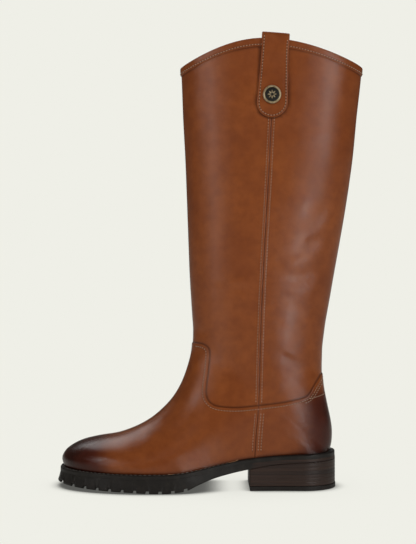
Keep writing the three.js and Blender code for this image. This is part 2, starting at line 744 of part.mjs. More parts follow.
// Rows of a strap from its round outer end, over the collar, to its inner end. Each row has the
// height, the distance of its middle from the shaft's surface and its half width.
function strapRows() {
  const rows = [];
  const out = GAP + STRAP_THICK / 2;
  const clear = STRAP_CLEAR + STRAP_THICK / 2;
  const round = STRAP_WIDE / 2;
  const narrow = STRAP_NARROW / 2;
  for (const degrees of STRAP_END_DEGREES) {
    const angle = THREE.MathUtils.degToRad(degrees);
    rows.push({ z: STRAP_LOW_Z + round * (1 - Math.cos(angle)), out, half: round * Math.sin(angle) });
  }
  for (const { z, narrower } of STRAP_TAPER) {
    rows.push({ z, out, half: round - narrower });
  }
  rows.push({ z: STRAP_OVER_Z, out: clear, half: narrow });
  const radius = WALL / 2 + clear;
  const arcZ = STRAP_TOP_Z - radius - STRAP_THICK / 2;
  for (let i = 0; i <= STRAP_FOLD_STEPS; i += 1) {
    const angle = (Math.PI * i) / STRAP_FOLD_STEPS;
    const across = radius * Math.cos(angle) - WALL / 2;
    rows.push({ z: arcZ + radius * Math.sin(angle), out: across, half: narrow });
  }
  rows.push({ z: STRAP_OVER_Z, out: -WALL - clear, half: narrow });
  rows.push({ z: STRAP_INSIDE_LOW_Z, out: -WALL - clear, half: narrow });
  return rows;
}

function strapSolid(side) {
  const rows = strapRows();
  const middles = rows.map((row) => offShaft(seamX(row.z), row.z, side, row.out));
  const loops = rows.map((row, i) => {
    const ahead = middles[Math.min(i + 1, rows.length - 1)];
    const behind = middles[Math.max(i - 1, 0)];
    const along = ahead.clone().sub(behind).setX(0).normalize();
    const out = new THREE.Vector3(0, -along.z, along.y).multiplyScalar(-side);
    const faces = [STRAP_THICK / 2, -STRAP_THICK / 2].map((rise) => (
      Array.from({ length: STRAP_COLUMNS + 1 }, (_, j) => {
        const across = (2 * j) / STRAP_COLUMNS - 1;
        const x = seamX(row.z) + across * row.half;
        const point = offShaft(x, row.z, side, row.out).addScaledVector(out, rise);
        point.x = x;
        return point;
      })
    ));
    return [...faces[0], ...faces[1].reverse()];
  });
  return solidThroughLoops(loops);
}

// Turned profile of radius and height pairs about the button's own axis, set on the outer strap.
function turnedOnStrap(profile, segments) {
  const points = profile.map(([radius, height]) => new THREE.Vector2(radius, height));
  const geometry = new THREE.LatheGeometry(points, segments);
  const x = seamX(BUTTON_Z) - BUTTON_FORWARD;
  const face = GAP + STRAP_THICK + GAP;
  const seat = offShaft(x, BUTTON_Z, OUTER, face);
  const out = offShaft(x, BUTTON_Z, OUTER, face + 1).sub(seat).normalize();
  geometry.applyQuaternion(new THREE.Quaternion().setFromUnitVectors(new THREE.Vector3(0, 1, 0), out));
  geometry.translate(seat.x, seat.y, seat.z);
  return solidFromGeometry(geometry);
}

const RIM_EDGE = 0.7;
const RIM_LIP = 0.5;
const RIM_SIDES = 28;
const FACE_SIDES = 24;
const FACE_DOME_SHARE = 0.6;

function buttonRimSolid() {
  const inner = BUTTON_RADIUS - BUTTON_RING_WIDE;
  return turnedOnStrap([
    [0, 0],
    [BUTTON_RADIUS - RIM_EDGE, 0],
    [BUTTON_RADIUS, RIM_EDGE],
    [BUTTON_RADIUS, BUTTON_TALL - RIM_EDGE],
    [BUTTON_RADIUS - RIM_EDGE, BUTTON_TALL],
    [inner + RIM_LIP, BUTTON_TALL],
    [inner, BUTTON_TALL - RIM_LIP],
    [inner, BUTTON_SEAT],
    [0, BUTTON_SEAT],
  ], RIM_SIDES);
}

function buttonFaceSolid() {
  const radius = BUTTON_RADIUS - BUTTON_RING_WIDE - GAP;
  return turnedOnStrap([
    [0, BUTTON_SEAT + GAP],
    [radius, BUTTON_SEAT + GAP],
    [radius, BUTTON_TALL - 2 * RIM_LIP],
    [radius * FACE_DOME_SHARE, BUTTON_TALL - 0.8 * RIM_LIP],
    [0, BUTTON_TALL - 0.2 * RIM_LIP],
  ], FACE_SIDES);
}

// ---------------------------------------------------------------- assembly

const MATERIALS = {
  leather: new THREE.MeshStandardMaterial({ color: 0x8a5230, roughness: 0.48, metalness: 0 }),
  rubber: new THREE.MeshStandardMaterial({ color: 0x24211e, roughness: 0.62, metalness: 0 }),
  stack: new THREE.MeshStandardMaterial({ color: 0x33261f, roughness: 0.5, metalness: 0 }),
  board: new THREE.MeshStandardMaterial({ color: 0xb08a62, roughness: 0.8, metalness: 0 }),
  brass: new THREE.MeshStandardMaterial({ color: 0x8d7a55, roughness: 0.38, metalness: 1 }),
  enamel: new THREE.MeshStandardMaterial({ color: 0x15130f, roughness: 0.35, metalness: 0 }),
};

function piece(name, solid, material) {
  const mesh = new THREE.Mesh(geometryFromSolid(solid), MATERIALS[material]);
  mesh.name = name;
  return mesh;
}

const boot = new THREE.Group();
boot.name = 'knee_boot';
boot.add(piece('outsole', outsoleSolid(), 'rubber'));
boot.add(piece('welt', weltSolid(), 'rubber'));
boot.add(piece('heel_stack', heelStackSolid(), 'stack'));
boot.add(piece('heel_lift', heelLiftSolid(), 'rubber'));
boot.add(piece('insole', insoleSolid(), 'board'));
boot.add(piece('upper', upperSolid(), 'leather'));
boot.add(piece('shaft', shaftSolid(), 'leather'));
boot.add(piece('collar_binding', bindingSolid(), 'leather'));
boot.add(piece('pull_strap_outer', strapSolid(OUTER), 'leather'));
boot.add(piece('pull_strap_inner', strapSolid(INNER), 'leather'));
boot.add(piece('button_rim', buttonRimSolid(), 'brass'));
boot.add(piece('button_face', buttonFaceSolid(), 'enamel'));

export default boot;
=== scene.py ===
"""The looks of a left knee-high pull-on boot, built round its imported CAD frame.

Tables and shapes are in the boot's own millimetres, in the frame of the CAD: +Z up, the toe along
-X, the outer side of the leg facing -Y. Meshes are made in metres when they become objects.
"""
import functools
import math

import bpy
import numpy as np
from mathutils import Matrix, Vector

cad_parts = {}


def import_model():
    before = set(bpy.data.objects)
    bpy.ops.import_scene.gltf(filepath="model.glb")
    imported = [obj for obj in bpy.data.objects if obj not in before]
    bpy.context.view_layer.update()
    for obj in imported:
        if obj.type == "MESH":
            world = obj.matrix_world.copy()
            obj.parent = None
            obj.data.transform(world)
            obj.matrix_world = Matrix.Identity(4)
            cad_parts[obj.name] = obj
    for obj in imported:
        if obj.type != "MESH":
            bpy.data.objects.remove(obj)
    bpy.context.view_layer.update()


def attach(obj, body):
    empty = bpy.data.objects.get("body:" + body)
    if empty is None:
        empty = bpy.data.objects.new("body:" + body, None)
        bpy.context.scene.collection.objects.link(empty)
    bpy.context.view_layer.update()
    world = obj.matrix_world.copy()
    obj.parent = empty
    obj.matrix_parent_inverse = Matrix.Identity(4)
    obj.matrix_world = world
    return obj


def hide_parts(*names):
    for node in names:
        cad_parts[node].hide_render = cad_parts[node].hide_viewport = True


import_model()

MM = 0.001
OUTER = -1
INNER = 1

# ---------- camera: level, facing the outer side

CAMERA_AWAY = 1190
CAMERA_HIGH = 206.6
CAMERA_X = -81.5
CAMERA_LENS = 81.2

camera = bpy.data.objects.new("camera", bpy.data.cameras.new("camera"))
bpy.context.scene.collection.objects.link(camera)
camera.location = Vector((CAMERA_X, -CAMERA_AWAY, CAMERA_HIGH)) * MM
camera.rotation_euler = (math.radians(90), 0, 0)
camera.data.lens = CAMERA_LENS
camera.data.clip_start = 0.05
camera.data.clip_end = 50
bpy.context.scene.camera = camera

# ---------- tables of the last

# Thicknesses, and how far the foot's leather stands out over the shaft's.
WALL = 2.0
FOOT_PROUD = 0.6
WELT_THICK = 4.1
LIFT_THICK = 4.2
GAP = 0.3
HEEL_FRONT = -42

# The collar's side view: two quarter waves that rise from its ends to its peak.
COLLAR_LOW = 404
COLLAR_RISE = 23.5
COLLAR_FRONT_X = -107.7
COLLAR_PEAK_X = -30
COLLAR_BACK_X = 67.7
BINDING_TALL = 8
BINDING_PROUD = 0.8
STRAP_THICK = 2.2
STRAP_LOW_Z = 352
STRAP_TOP_Z = 433
STRAP_INSIDE_LOW_Z = 372
STRAP_WIDE = 29.4
STRAP_NARROW = 26
STRAP_TAPER = 45

# Side view of the sole at places along it: height of the feather line and of the tread, and how
# far the sole flares out under the welt's edge.
SOLE_LINES = {
    "x": [-230, -212, -186, -160, -124, -104, -90, -76, -43, -9, 18, 45],
    "feather": [19.4, 18.8, 17.9, 17.4, 17.4, 18.8, 21.2, 24.0, 30.0, 33.0, 34.0, 35.4],
    "tread": [4.2, 2.4, 0.9, 0.0, 0.0, 1.8, 7.4, 12.6, 20.0, 25.2, 26.6, 28.0],
    "flare": [2.6, 2, 1.2, 0.8, 0.6, 0.4, 0.2, 0, 0, 0, 0.3, 0.3],
}
TOE_TIP = -220.5
TOE_SHIFT = 6
TOE_FULLNESS = 2.45
HEEL_CENTRE = 9
HEEL_RADIUS = 26.8
# Plan of the feather line: shift of its stations across, half widths, and width of the welt's ledge.
FEATHER = {
    "x": [-148, -120, -95, -70, -45, -20, 9],
    "skew": [10, 9, 6, 3, 0, 0, 0],
    "outer": [46.4, 45.2, 39.8, 33.4, 29.8, 28.2, 26.8],
    "inner": [45.8, 41.6, 34.2, 28.4, 27.0, 27.4, 26.8],
    "ledge": [4.2, 4.2, 3.8, 3.2, 2.8, 3.3, 5.3],
}

SECTION_NAMES = ("front_x", "front_z", "back_x", "back_z", "outer", "inner", "at", "crown", "belly", "ridge")
# Sections that end on the feather line, whose height gives back_z.
OPEN_SECTIONS = [
    (-220.5, 19.1, -148, None, 46.4, 45.8, 1, 2.45, 2, 6),
    (-222.6, 26.5, -147.6, None, 46.6, 46, 0.97, 2.4, 2, 6),
    (-219.8, 32.8, -147, None, 46.9, 46.3, 0.94, 2.4, 2, 6),
    (-213, 38.2, -146, None, 47.1, 46.5, 0.91, 2.35, 2, 6),
    (-203, 42.9, -144.5, None, 47.4, 46.6, 0.88, 2.3, 2, 5.5),
    (-188, 46.6, -142, None, 47.6, 46.6, 0.85, 2.2, 2, 5),
    (-170, 49.6, -138, None, 47.6, 46.2, 0.82, 2.1, 2, 5),
    (-153, 55.4, -130, None, 47.2, 44.6, 0.79, 2.05, 2, 4.5),
    (-138, 63.5, -116, None, 45.6, 41.6, 0.75, 1.95, 2, 4),
    (-125, 74.2, -98, None, 41.6, 37.4, 0.7, 1.9, 2, 3),
    (-114.6, 86, -76, None, 37.4, 34, 0.66, 1.9, 2.1, 2),
    (-107, 99, -50, None, 34.2, 32.2, 0.63, 1.9, 2.2, 1),
    (-101.8, 112.5, -24, None, 32.8, 31.8, 0.6, 1.9, 2.4, 0.5),
    (-98.6, 124.5, 0, None, 31.9, 31.6, 0.59, 1.95, 2.5, 0),
    (-97.2, 133, 20, None, 31.4, 31.4, 0.58, 1.95, 2.6, 0),
    (-96.7, 139, 32, None, 31.2, 31.2, 0.57, 1.95, 2.6, 0),
    (-96.5, 143, 35.8, None, 31, 31, 0.56, 1.95, 2.6, 0),
]
# Closed sections, the same on both sides.
CLOSED_SECTIONS = [
    (-96.5, 146.5, 37.4, 44, 30.9, 30.9, 0.56, 1.95, 2.5, 0),
    (-96.5, 150, 37.9, 53, 30.8, 30.8, 0.55, 1.95, 2.4, 0),
    (-96.6, 155, 36.4, 65, 30.6, 30.6, 0.55, 1.95, 2.3, 0),
    (-97, 161, 33.1, 81, 30.3, 30.3, 0.54, 1.95, 2.2, 0),
    (-97.5, 169, 30.3, 96.5, 30.1, 30.1, 0.53, 1.95, 2.1, 0),
    (-98.1, 179, 28.9, 113, 30, 30, 0.52, 1.95, 2, 0),
    (-98.8, 191, 29.2, 130, 30.1, 30.1, 0.51, 1.95, 1.95, 0),
    (-99.5, 206, 31.9, 153, 30.5, 30.5, 0.5, 1.95, 1.95, 0),
    (-100.3, 227, 37.2, 183, 31.2, 31.2, 0.5, 1.95, 1.95, 0),
    (-101.4, 254, 44.6, 226, 32.2, 32.2, 0.5, 1.9, 1.95, 0),
    (-102.5, 284, 52.2, 272, 33, 33, 0.5, 1.9, 1.9, 0),
    (-103.6, 318, 59, 318, 33.5, 33.5, 0.5, 1.85, 1.9, 0),
    (-105.3, 354, 62.8, 354, 33.4, 33.4, 0.5, 1.85, 1.85, 0),
    (-107.7, 404, 67.7, 404, 33, 33, 0.5, 1.85, 1.85, 0),
    (-109.1, 435, 69.6, 435, 32.8, 32.8, 0.5, 1.85, 1.85, 0),
]
HEEL_ROW = len(OPEN_SECTIONS) - 1
LEVEL_ROW = len(OPEN_SECTIONS) + 11

# Side view of the seam between foot and shaft, front to back.
TOP_SEAM = [
    (-240, 138.4), (-110, 138.4), (-92, 138.2), (-84.5, 136.5), (-80.3, 131), (-81, 115), (-83.2, 98),
    (-83, 89), (-79.5, 83), (-72, 79.6), (-55, 78.4), (-34, 80.2), (-10, 83.2), (6, 86.6), (13.5, 89.4),
    (19, 96.5), (24.5, 104.5), (31, 109.8), (60, 116),
]
SIDE_SEAM = {
    "z": [20, 36, 51, 69, 80, 113, 176, 226, 282, 348, 436],
    "x": [-37.8, -37, -36.2, -34.6, -33.7, -32.8, -30.7, -28.3, -25.2, -21.8, -17.2],
}

# ---------- curves through tables


def curve_through(keys, values):
    """Smooth curve through a table's columns that never overshoots its rows."""
    keys = np.asarray(keys, float)
    values = np.asarray(values, float)
    spans = np.diff(keys).reshape((-1,) + (1,) * (values.ndim - 1))
    rises = np.diff(values, axis=0) / spans
    before, after = rises[:-1], rises[1:]
    same = before * after > 0
    total = np.where(same, before + after, 1)
    inner = np.where(same, 2 * before * after / total, 0)
    slopes = np.concatenate([rises[:1], inner, rises[-1:]])
    # Each span's cubic, as four factors of the distance into the span.
    bend = (3 * rises - 2 * slopes[:-1] - slopes[1:]) / spans
    twist = (slopes[:-1] + slopes[1:] - 2 * rises) / spans ** 2
    factors = np.stack([values[:-1], slopes[:-1], bend, twist])
    first, last = keys[0], keys[-1]

    def at(key):
        key = np.asarray(key, float)
        inside = np.minimum(np.maximum(key, first), last)
        i = np.minimum(np.maximum(np.searchsorted(keys, inside) - 1, 0), len(keys) - 2)
        step, beyond = inside - keys[i], key - inside
        if values.ndim > 1:
            step, beyond = step[..., None], beyond[..., None]
        value, slope, square, cube = factors[:, i]
        value = value + step * (slope + step * (square + step * cube))
        if beyond.any():
            value = value + beyond * np.where(beyond < 0, slopes[0], slopes[-1])
        return value

    return at


feather_z = curve_through(SOLE_LINES["x"], SOLE_LINES["feather"])
tread_z = curve_through(SOLE_LINES["x"], SOLE_LINES["tread"])
sole_flare = curve_through(SOLE_LINES["x"], SOLE_LINES["flare"])
feather_skew = curve_through(FEATHER["x"], FEATHER["skew"])
feather_outer = curve_through(FEATHER["x"], FEATHER["outer"])
feather_inner = curve_through(FEATHER["x"], FEATHER["inner"])
feather_ledge = curve_through(FEATHER["x"], FEATHER["ledge"])
seam_x = curve_through(SIDE_SEAM["z"], SIDE_SEAM["x"])


def clamped(value, low=0.0, high=1.0):
    return np.minimum(np.maximum(value, low), high)


def smooth(value):
    value = clamped(value)
    return value * value * (3 - 2 * value)


def quarter_round(edge, radius):
    """A rounded edge's height as a share of its radius: 0 at the edge and 1 a radius in."""
    return np.sqrt(clamped(1 - (1 - clamped(edge / radius)) ** 2))


def ramp(value, start, length):
    """Eases from 0 at a start to 1 a length beyond it. A negative length runs the other way."""
    return smooth((value - start) / length)


# ---------- plan of the sole


def skew_at(low):
    return np.where(low > HEEL_CENTRE, 0, feather_skew(np.minimum(low, HEEL_CENTRE)))


def feather_half(low, side):
    """Half width of the feather line at stations from the ball to the heel's back."""
    reach = clamped((low - HEEL_CENTRE) / HEEL_RADIUS)
    straight = np.where(side < 0, feather_outer(low), feather_inner(low))
    return np.where(low > HEEL_CENTRE, HEEL_RADIUS * np.sqrt(1 - reach ** 2), straight)


TOE_SHARE = 0.3
HEEL_SHARE = 0.16


def plan_point(t, side):
    """The feather line of one side: t is 0 at the toe tip and 1 at the heel's back."""
    t = np.asarray(t, float)
    angle = clamped(t / TOE_SHARE) * math.pi / 2
    first = FEATHER["x"][0]
    ball_x = first - side * skew_at(np.float64(first))
    ball_y = feather_half(np.float64(first), side)
    along = 1 - np.cos(angle)
    toe_x = TOE_TIP + (ball_x - TOE_TIP) * along
    toe_y = side * ball_y * np.sin(angle) ** (2 / TOE_FULLNESS) + TOE_SHIFT * (1 - along) ** 2
    share = clamped((t - TOE_SHARE) / (1 - TOE_SHARE - HEEL_SHARE))
    heel_angle = clamped((t - 1 + HEEL_SHARE) / HEEL_SHARE) * math.pi / 2
    low = first + (HEEL_CENTRE - first) * share + HEEL_RADIUS * np.sin(heel_angle)
    rest_x = low - side * skew_at(low)
    rest_y = side * feather_half(low, side)
    toe = t < TOE_SHARE
    return np.where(toe, toe_x, rest_x), np.where(toe, toe_y, rest_y)


def ledge_at(x):
    return feather_ledge(clamped(x, FEATHER["x"][0], HEEL_CENTRE))


def plan_offset(t, side, reach):
    """The feather line moved outwards by a distance."""
    step = 0.004
    t = np.asarray(t, float)
    x, y = plan_point(t, side)
    over, under = t + step > 1, t < step
    ax, ay = plan_point(np.where(over, 2 - t - step, t + step), np.where(over, -side, side))
    bx, by = plan_point(np.where(under, step - t, t - step), np.where(under, -side, side))
    dx, dy = ax - bx, ay - by
    size = np.hypot(dx, dy)
    distance = reach(x) if callable(reach) else reach
    return x - side * dy / size * distance, y + side * dx / size * distance


# ---------- the last


def section_rows():
    opened = [row[:3] + (float(feather_z(row[2])),) + row[4:] for row in OPEN_SECTIONS]
    return np.array(opened + CLOSED_SECTIONS)


SECTIONS = curve_through(np.arange(len(OPEN_SECTIONS) + len(CLOSED_SECTIONS)), section_rows())
SECTION_ENDS = curve_through(np.arange(len(OPEN_SECTIONS) + len(CLOSED_SECTIONS)), section_rows()[:, :4])


def section_at(place):
    table = SECTIONS(place)
    section = {name: table[..., i] for i, name in enumerate(SECTION_NAMES)}
    section["open"] = place < HEEL_ROW
    if np.any(section["open"]):
        section["back_z"] = np.where(section["open"], feather_z(section["back_x"]), section["back_z"])
        section["skew"] = np.where(section["open"], skew_at(section["back_x"]), 0)
    else:
        section["skew"] = np.zeros(np.shape(place))
    return section


def section_half(section, fraction, side):
    wide = np.where(side < 0, section["outer"], section["inner"])
    at = section["at"]
    rest = 1 - fraction / at
    front = wide * clamped(1 - rest * rest) ** (1 / section["crown"])
    foot = np.where(section["open"], feather_half(section["back_x"], side), 0)
    past = clamped((fraction - at) / np.maximum(1 - at, 1e-6))
    power = section["belly"]
    back = (foot ** power + (wide ** power - foot ** power) * (1 - past * past)) ** (1 / power)
    return np.where(fraction <= at, front, back)


def section_point(section, place, fraction, side):
    half = section_half(section, fraction, side)
    lean = clamped(1 - fraction / section["at"])
    x = section["front_x"] + (section["back_x"] - section["front_x"]) * fraction
    x = x - side * section["skew"] * fraction
    y = side * half + section["ridge"] * lean * lean
    z = section["front_z"] + (section["back_z"] - section["front_z"]) * fraction
    z = np.where((place <= 0) | (section["open"] & (fraction >= 1)), feather_z(x), z)
    return np.stack([x, y, z], -1)


def last_point(place, turn):
    """Point of the last's surface. turn runs from -1 through 0 at the front to 1, outer side first."""
    section = section_at(place)
    side = np.where(turn < 0, OUTER, INNER)
    share = np.abs(turn)
    split = section["at"]
    fore = split * (1 - np.cos(np.minimum(share / split, 1) * math.pi / 2))
    aft_share = clamped((share - split) / np.maximum(1 - split, 1e-6))
    aft = split + (1 - split) * np.sin(aft_share * math.pi / 2)
    fraction = np.where(share <= split, fore, aft)
    return section_point(section, place, np.minimum(fraction, 1), side)


def collar_z(x):
    end = np.where(x < COLLAR_PEAK_X, COLLAR_FRONT_X, COLLAR_BACK_X)
    share = np.minimum(1, (x - COLLAR_PEAK_X) / (end - COLLAR_PEAK_X))
    return COLLAR_LOW + COLLAR_RISE * np.cos(share * math.pi / 2)


LEVEL_PLACES = np.linspace(LEVEL_ROW, LEVEL_ROW + 3, 400)
LEVEL_HEIGHTS = SECTIONS(LEVEL_PLACES)[:, SECTION_NAMES.index("front_z")]


def place_at_height(z):
    return np.interp(z, LEVEL_HEIGHTS, LEVEL_PLACES)


def boot_point(row, turn):
    """The whole boot as one grid: rows of the table up to the first level one, then up to the collar."""
    lift = clamped(row - LEVEL_ROW)
    base = LEVEL_HEIGHTS[0]
    point = last_point(np.where(row > LEVEL_ROW, place_at_height(COLLAR_LOW), row), turn)
    for _ in range(3):
        z = base + (collar_z(point[..., 0]) - base) * lift
        point = last_point(np.where(row > LEVEL_ROW, place_at_height(z), row), turn)
    return point


TOP_ROW = LEVEL_ROW + 1


def boot_normal(row, turn):
    step_row, step_turn = 0.03, 0.02
    above = boot_point(np.minimum(TOP_ROW, row + step_row), turn)
    below = boot_point(np.maximum(0, row - step_row), turn)
    closed = row >= HEEL_ROW
    ahead, behind = turn + step_turn, turn - step_turn
    ahead = np.where(ahead > 1, np.where(closed, ahead - 2, 1), ahead)
    behind = np.where(behind < -1, np.where(closed, behind + 2, -1), behind)
    along = boot_point(row, ahead) - boot_point(row, behind)
    normal = np.cross(above - below, along)
    return normal / np.linalg.norm(normal, axis=-1, keepdims=True)


def past_section(place, x, z):
    """Positive where a place of the side view lies above the line of a section."""
    ends = SECTION_ENDS(place)
    front_x, front_z, back_x, back_z = ends[..., 0], ends[..., 1], ends[..., 2], ends[..., 3]
    low = place < HEEL_ROW
    if np.any(low):
        back_z = np.where(low, feather_z(back_x), back_z)
    return (back_x - front_x) * (z - front_z) - (back_z - front_z) * (x - front_x)


def place_and_fraction(x, z, side):
    """The section, and the way along it, that pass through places of the side view."""
    fraction = np.zeros_like(x)
    skew = np.zeros_like(x)
    # Only the foot is skewed, so only low places need more than one turn to settle.
    for _ in range(4 if np.min(z) < LEVEL_HEIGHTS[0] / 2 else 1):
        flat = x + side * skew * fraction
        low = np.zeros_like(x)
        high = np.full_like(x, len(OPEN_SECTIONS) + len(CLOSED_SECTIONS) - 1.0)
        for _ in range(20):
            middle = (low + high) / 2
            over = past_section(middle, flat, z) > 0
            low, high = np.where(over, middle, low), np.where(over, high, middle)
        place = (low + high) / 2
        section = section_at(place)
        dx, dz = section["back_x"] - section["front_x"], section["back_z"] - section["front_z"]
        fraction = ((flat - section["front_x"]) * dx + (z - section["front_z"]) * dz) / (dx * dx + dz * dz)
        fraction = clamped(fraction)
        skew = section["skew"]
    return place, fraction


def surface(x, z, side):
    """Points and outward normals of the last at places of the side view."""
    def point(px, pz):
        place, fraction = place_and_fraction(px, pz, side)
        return section_point(section_at(place), place, fraction, side)

    step = 0.5
    x, z = np.asarray(x, float), np.asarray(z, float)
    here = point(x, z)
    here[..., 0], here[..., 2] = x, z
    slope_x = (point(x + step, z)[..., 1] - point(x - step, z)[..., 1]) / (2 * step)
    slope_z = (point(x, z + step)[..., 1] - point(x, z - step)[..., 1]) / (2 * step)
    normal = np.stack([-slope_x, np.ones_like(slope_x), -slope_z], -1) * side
    return here, normal / np.linalg.norm(normal, axis=-1, keepdims=True)


# ---------- seams as distances in the side view


def spline(points, parts):
    """Smooth curve through points of the side view, with so many steps between each two."""
    points = np.asarray(points, float)
    padded = np.vstack([2 * points[0] - points[1], points, 2 * points[-1] - points[-2]])
    out = []
    for a, b, c, d in zip(padded[:-3], padded[1:-2], padded[2:-1], padded[3:]):
        t = np.linspace(0, 1, parts, endpoint=False)[:, None]
        square = 2 * a - 5 * b + 4 * c - d
        cube = 3 * b - a - 3 * c + d
        out.append(0.5 * (2 * b + (c - a) * t + square * t ** 2 + cube * t ** 3))
    out.append(points[-1:])
    return np.vstack(out)


def signed_distance(x, z, line):
    """Distance to a polyline of the side view, positive on its left."""
    best = np.full(x.shape, 1e9)
    sign = np.ones(x.shape)
    for (ax, az), (bx, bz) in zip(line[:-1], line[1:]):
        dx, dz = bx - ax, bz - az
        t = clamped(((x - ax) * dx + (z - az) * dz) / (dx * dx + dz * dz))
        gap = np.hypot(x - ax - t * dx, z - az - t * dz)
        nearer = gap < best - 1e-9
        best = np.where(nearer, gap, best)
        left = np.where(dx * (z - az) - dz * (x - ax) > 0, 1, -1)
        sign = np.where(nearer, left, sign)
    return best * sign


TOP_LINE = spline(TOP_SEAM, 4)


def above_top_seam(point):
    return signed_distance(point[:, 0], point[:, 2], TOP_LINE)


def behind_side_seam(point):
    z = point[:, 2]
    slope = (seam_x(z + 1) - seam_x(z - 1)) / 2
    return (point[:, 0] - seam_x(z)) / np.sqrt(1 + slope * slope)


# ---------- meshes from grids


class Sheet:
    """A triangle mesh that lives in the boot's own (row, turn) plane until it is lifted into space."""

    def __init__(self, rows, turns):
        r, t = np.meshgrid(rows, turns, indexing="ij")
        self.param = np.stack([r.ravel(), t.ravel()], -1)
        n, m = len(rows), len(turns)
        i, j = np.meshgrid(np.arange(n - 1), np.arange(m - 1), indexing="ij")
        a = (i * m + j).ravel()
        b = a + m
        self.faces = np.concatenate([np.stack([a, b + 1, a + 1], -1), np.stack([a, b, b + 1], -1)])

    def points(self):
        return boot_point(self.param[:, 0], self.param[:, 1])

    def split(self, field, level):
        """Adds points where a field passes a level, so that an edge or crease can follow it."""
        value = field(self.points()) - level
        value[np.abs(value) < 1e-4] = 0
        sign = np.sign(value)
        corner = sign[self.faces]
        cut = (corner.max(1) > 0) & (corner.min(1) < 0)
        kept = [self.faces[~cut]]
        new, made, out = {}, [], []
        start = len(self.param)

        def crossing(a, b):
            key = (a, b) if a < b else (b, a)
            if key not in new:
                share = value[a] / (value[a] - value[b])
                new[key] = start + len(made)
                made.append(self.param[a] + (self.param[b] - self.param[a]) * share)
            return new[key]

        for tri in self.faces[cut]:
            tri = [int(v) for v in tri]
            s = [sign[v] for v in tri]
            if 0 in s:
                while s[0] != 0:
                    tri, s = tri[1:] + tri[:1], s[1:] + s[:1]
                middle = crossing(tri[1], tri[2])
                out += [(tri[0], tri[1], middle), (tri[0], middle, tri[2])]
                continue
            while s[0] == s[1] or s[0] == s[2]:
                tri, s = tri[1:] + tri[:1], s[1:] + s[:1]
            one, two = crossing(tri[0], tri[1]), crossing(tri[0], tri[2])
            out += [(tri[0], one, two), (one, tri[1], tri[2]), (one, tri[2], two)]
        if out:
            made = self.refined(field, level, np.array(list(new)), np.array(made))
            self.param = np.vstack([self.param, made])
            self.faces = np.vstack(kept + [np.array(out)])

    def refined(self, field, level, edges, made):
        """Moves crossings along their edges until they lie on the level itself."""
        start, end = self.param[edges[:, 0]], self.param[edges[:, 1]]
        span = end - start
        axis = np.abs(span).argmax(1)
        rows = np.arange(len(edges))
        share = (made - start)[rows, axis] / span[rows, axis]
        low, high = np.zeros(len(edges)), np.ones(len(edges))
        rising = field(boot_point(*start.T)) < field(boot_point(*end.T))
        for _ in range(5):
            value = field(boot_point(*(start + span * share[:, None]).T)) - level
            below = (value < 0) == rising
            low, high = np.where(below, share, low), np.where(below, high, share)
            share = (low + high) / 2
        return start + span * share[:, None]

    def keep(self, field, low, high):
        """Drops the triangles whose middle lies outside two levels of a field."""
        value = field(self.points())[self.faces].mean(1)
        self.faces = self.faces[(value > low) & (value < high)]
        used, self.faces = np.unique(self.faces, return_inverse=True)
        self.faces = self.faces.reshape(-1, 3)
        self.param = self.param[used]


def welded(points, faces, *extras):
    """Joins points at the same place and drops the triangles that this closes up."""
    keys = np.round(points / 1e-3).astype(np.int64)
    _, first, back = np.unique(keys, axis=0, return_index=True, return_inverse=True)
    faces = back.ravel()[faces]
    good = (faces[:, 0] != faces[:, 1]) & (faces[:, 1] != faces[:, 2]) & (faces[:, 2] != faces[:, 0])
    return (points[first], faces[good]) + tuple(extra[first] for extra in extras)


def vertex_normals(points, faces):
    a, b, c = points[faces[:, 0]], points[faces[:, 1]], points[faces[:, 2]]
    face = np.cross(b - a, c - a)
    total = np.zeros_like(points)
    for k in range(3):
        np.add.at(total, faces[:, k], face)
    size = np.linalg.norm(total, axis=1, keepdims=True)
    return total / np.maximum(size, 1e-12)


def edges_of(faces):
    return np.concatenate([faces[:, [0, 1]], faces[:, [1, 2]], faces[:, [2, 0]]])


def rim_edges(faces):
    """Directed edges that only one triangle uses."""
    edges = edges_of(faces)
    keys = edges.min(1) * (edges.max() + 1) + edges.max(1)
    _, where, count = np.unique(keys, return_index=True, return_counts=True)
    return edges[where[count == 1]]


def thickened(points, faces, depth):
    """A closed skin: the sheet, a copy of it set back by a depth, and a strip round the rims."""
    normals = vertex_normals(points, faces)
    back = points - normals * np.reshape(depth, (-1, 1))
    count = len(points)
    rims = rim_edges(faces)
    a, b = rims[:, 0], rims[:, 1]
    strip = np.concatenate([np.stack([b, a, a + count], -1), np.stack([b, a + count, b + count], -1)])
    return np.vstack([points, back]), np.vstack([faces, faces[:, ::-1] + count, strip])


def new_object(name, points, faces, material, slot, replaces=(), **attributes):
    """A smooth mesh object in metres that rides on the boot. Attributes are shares at its points."""
    mesh = bpy.data.meshes.new(name)
    if isinstance(faces, np.ndarray):
        mesh.vertices.add(len(points))
        mesh.vertices.foreach_set("co", (np.asarray(points, np.float32) * MM).ravel())
        corners = faces.shape[1]
        mesh.loops.add(faces.size)
        mesh.loops.foreach_set("vertex_index", faces.astype(np.int32).ravel())
        mesh.polygons.add(len(faces))
        mesh.polygons.foreach_set("loop_start", np.arange(0, faces.size, corners, dtype=np.int32))
    else:
        mesh.from_pydata([tuple(np.asarray(p) * MM) for p in points], [], faces)
    mesh.update(calc_edges=True)
    mesh.validate()
    mesh.polygons.foreach_set("use_smooth", np.full(len(mesh.polygons), True))
    for key, value in attributes.items():
        layer = mesh.attributes.new(key, "FLOAT", "POINT")
        layer.data.foreach_set("value", np.full(len(points), value, np.float32))
    mesh.materials.append(material)
    made = bpy.data.objects.new(name, mesh)
    bpy.context.scene.collection.objects.link(made)
    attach(made, "root")
    if replaces:
        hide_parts(*replaces)


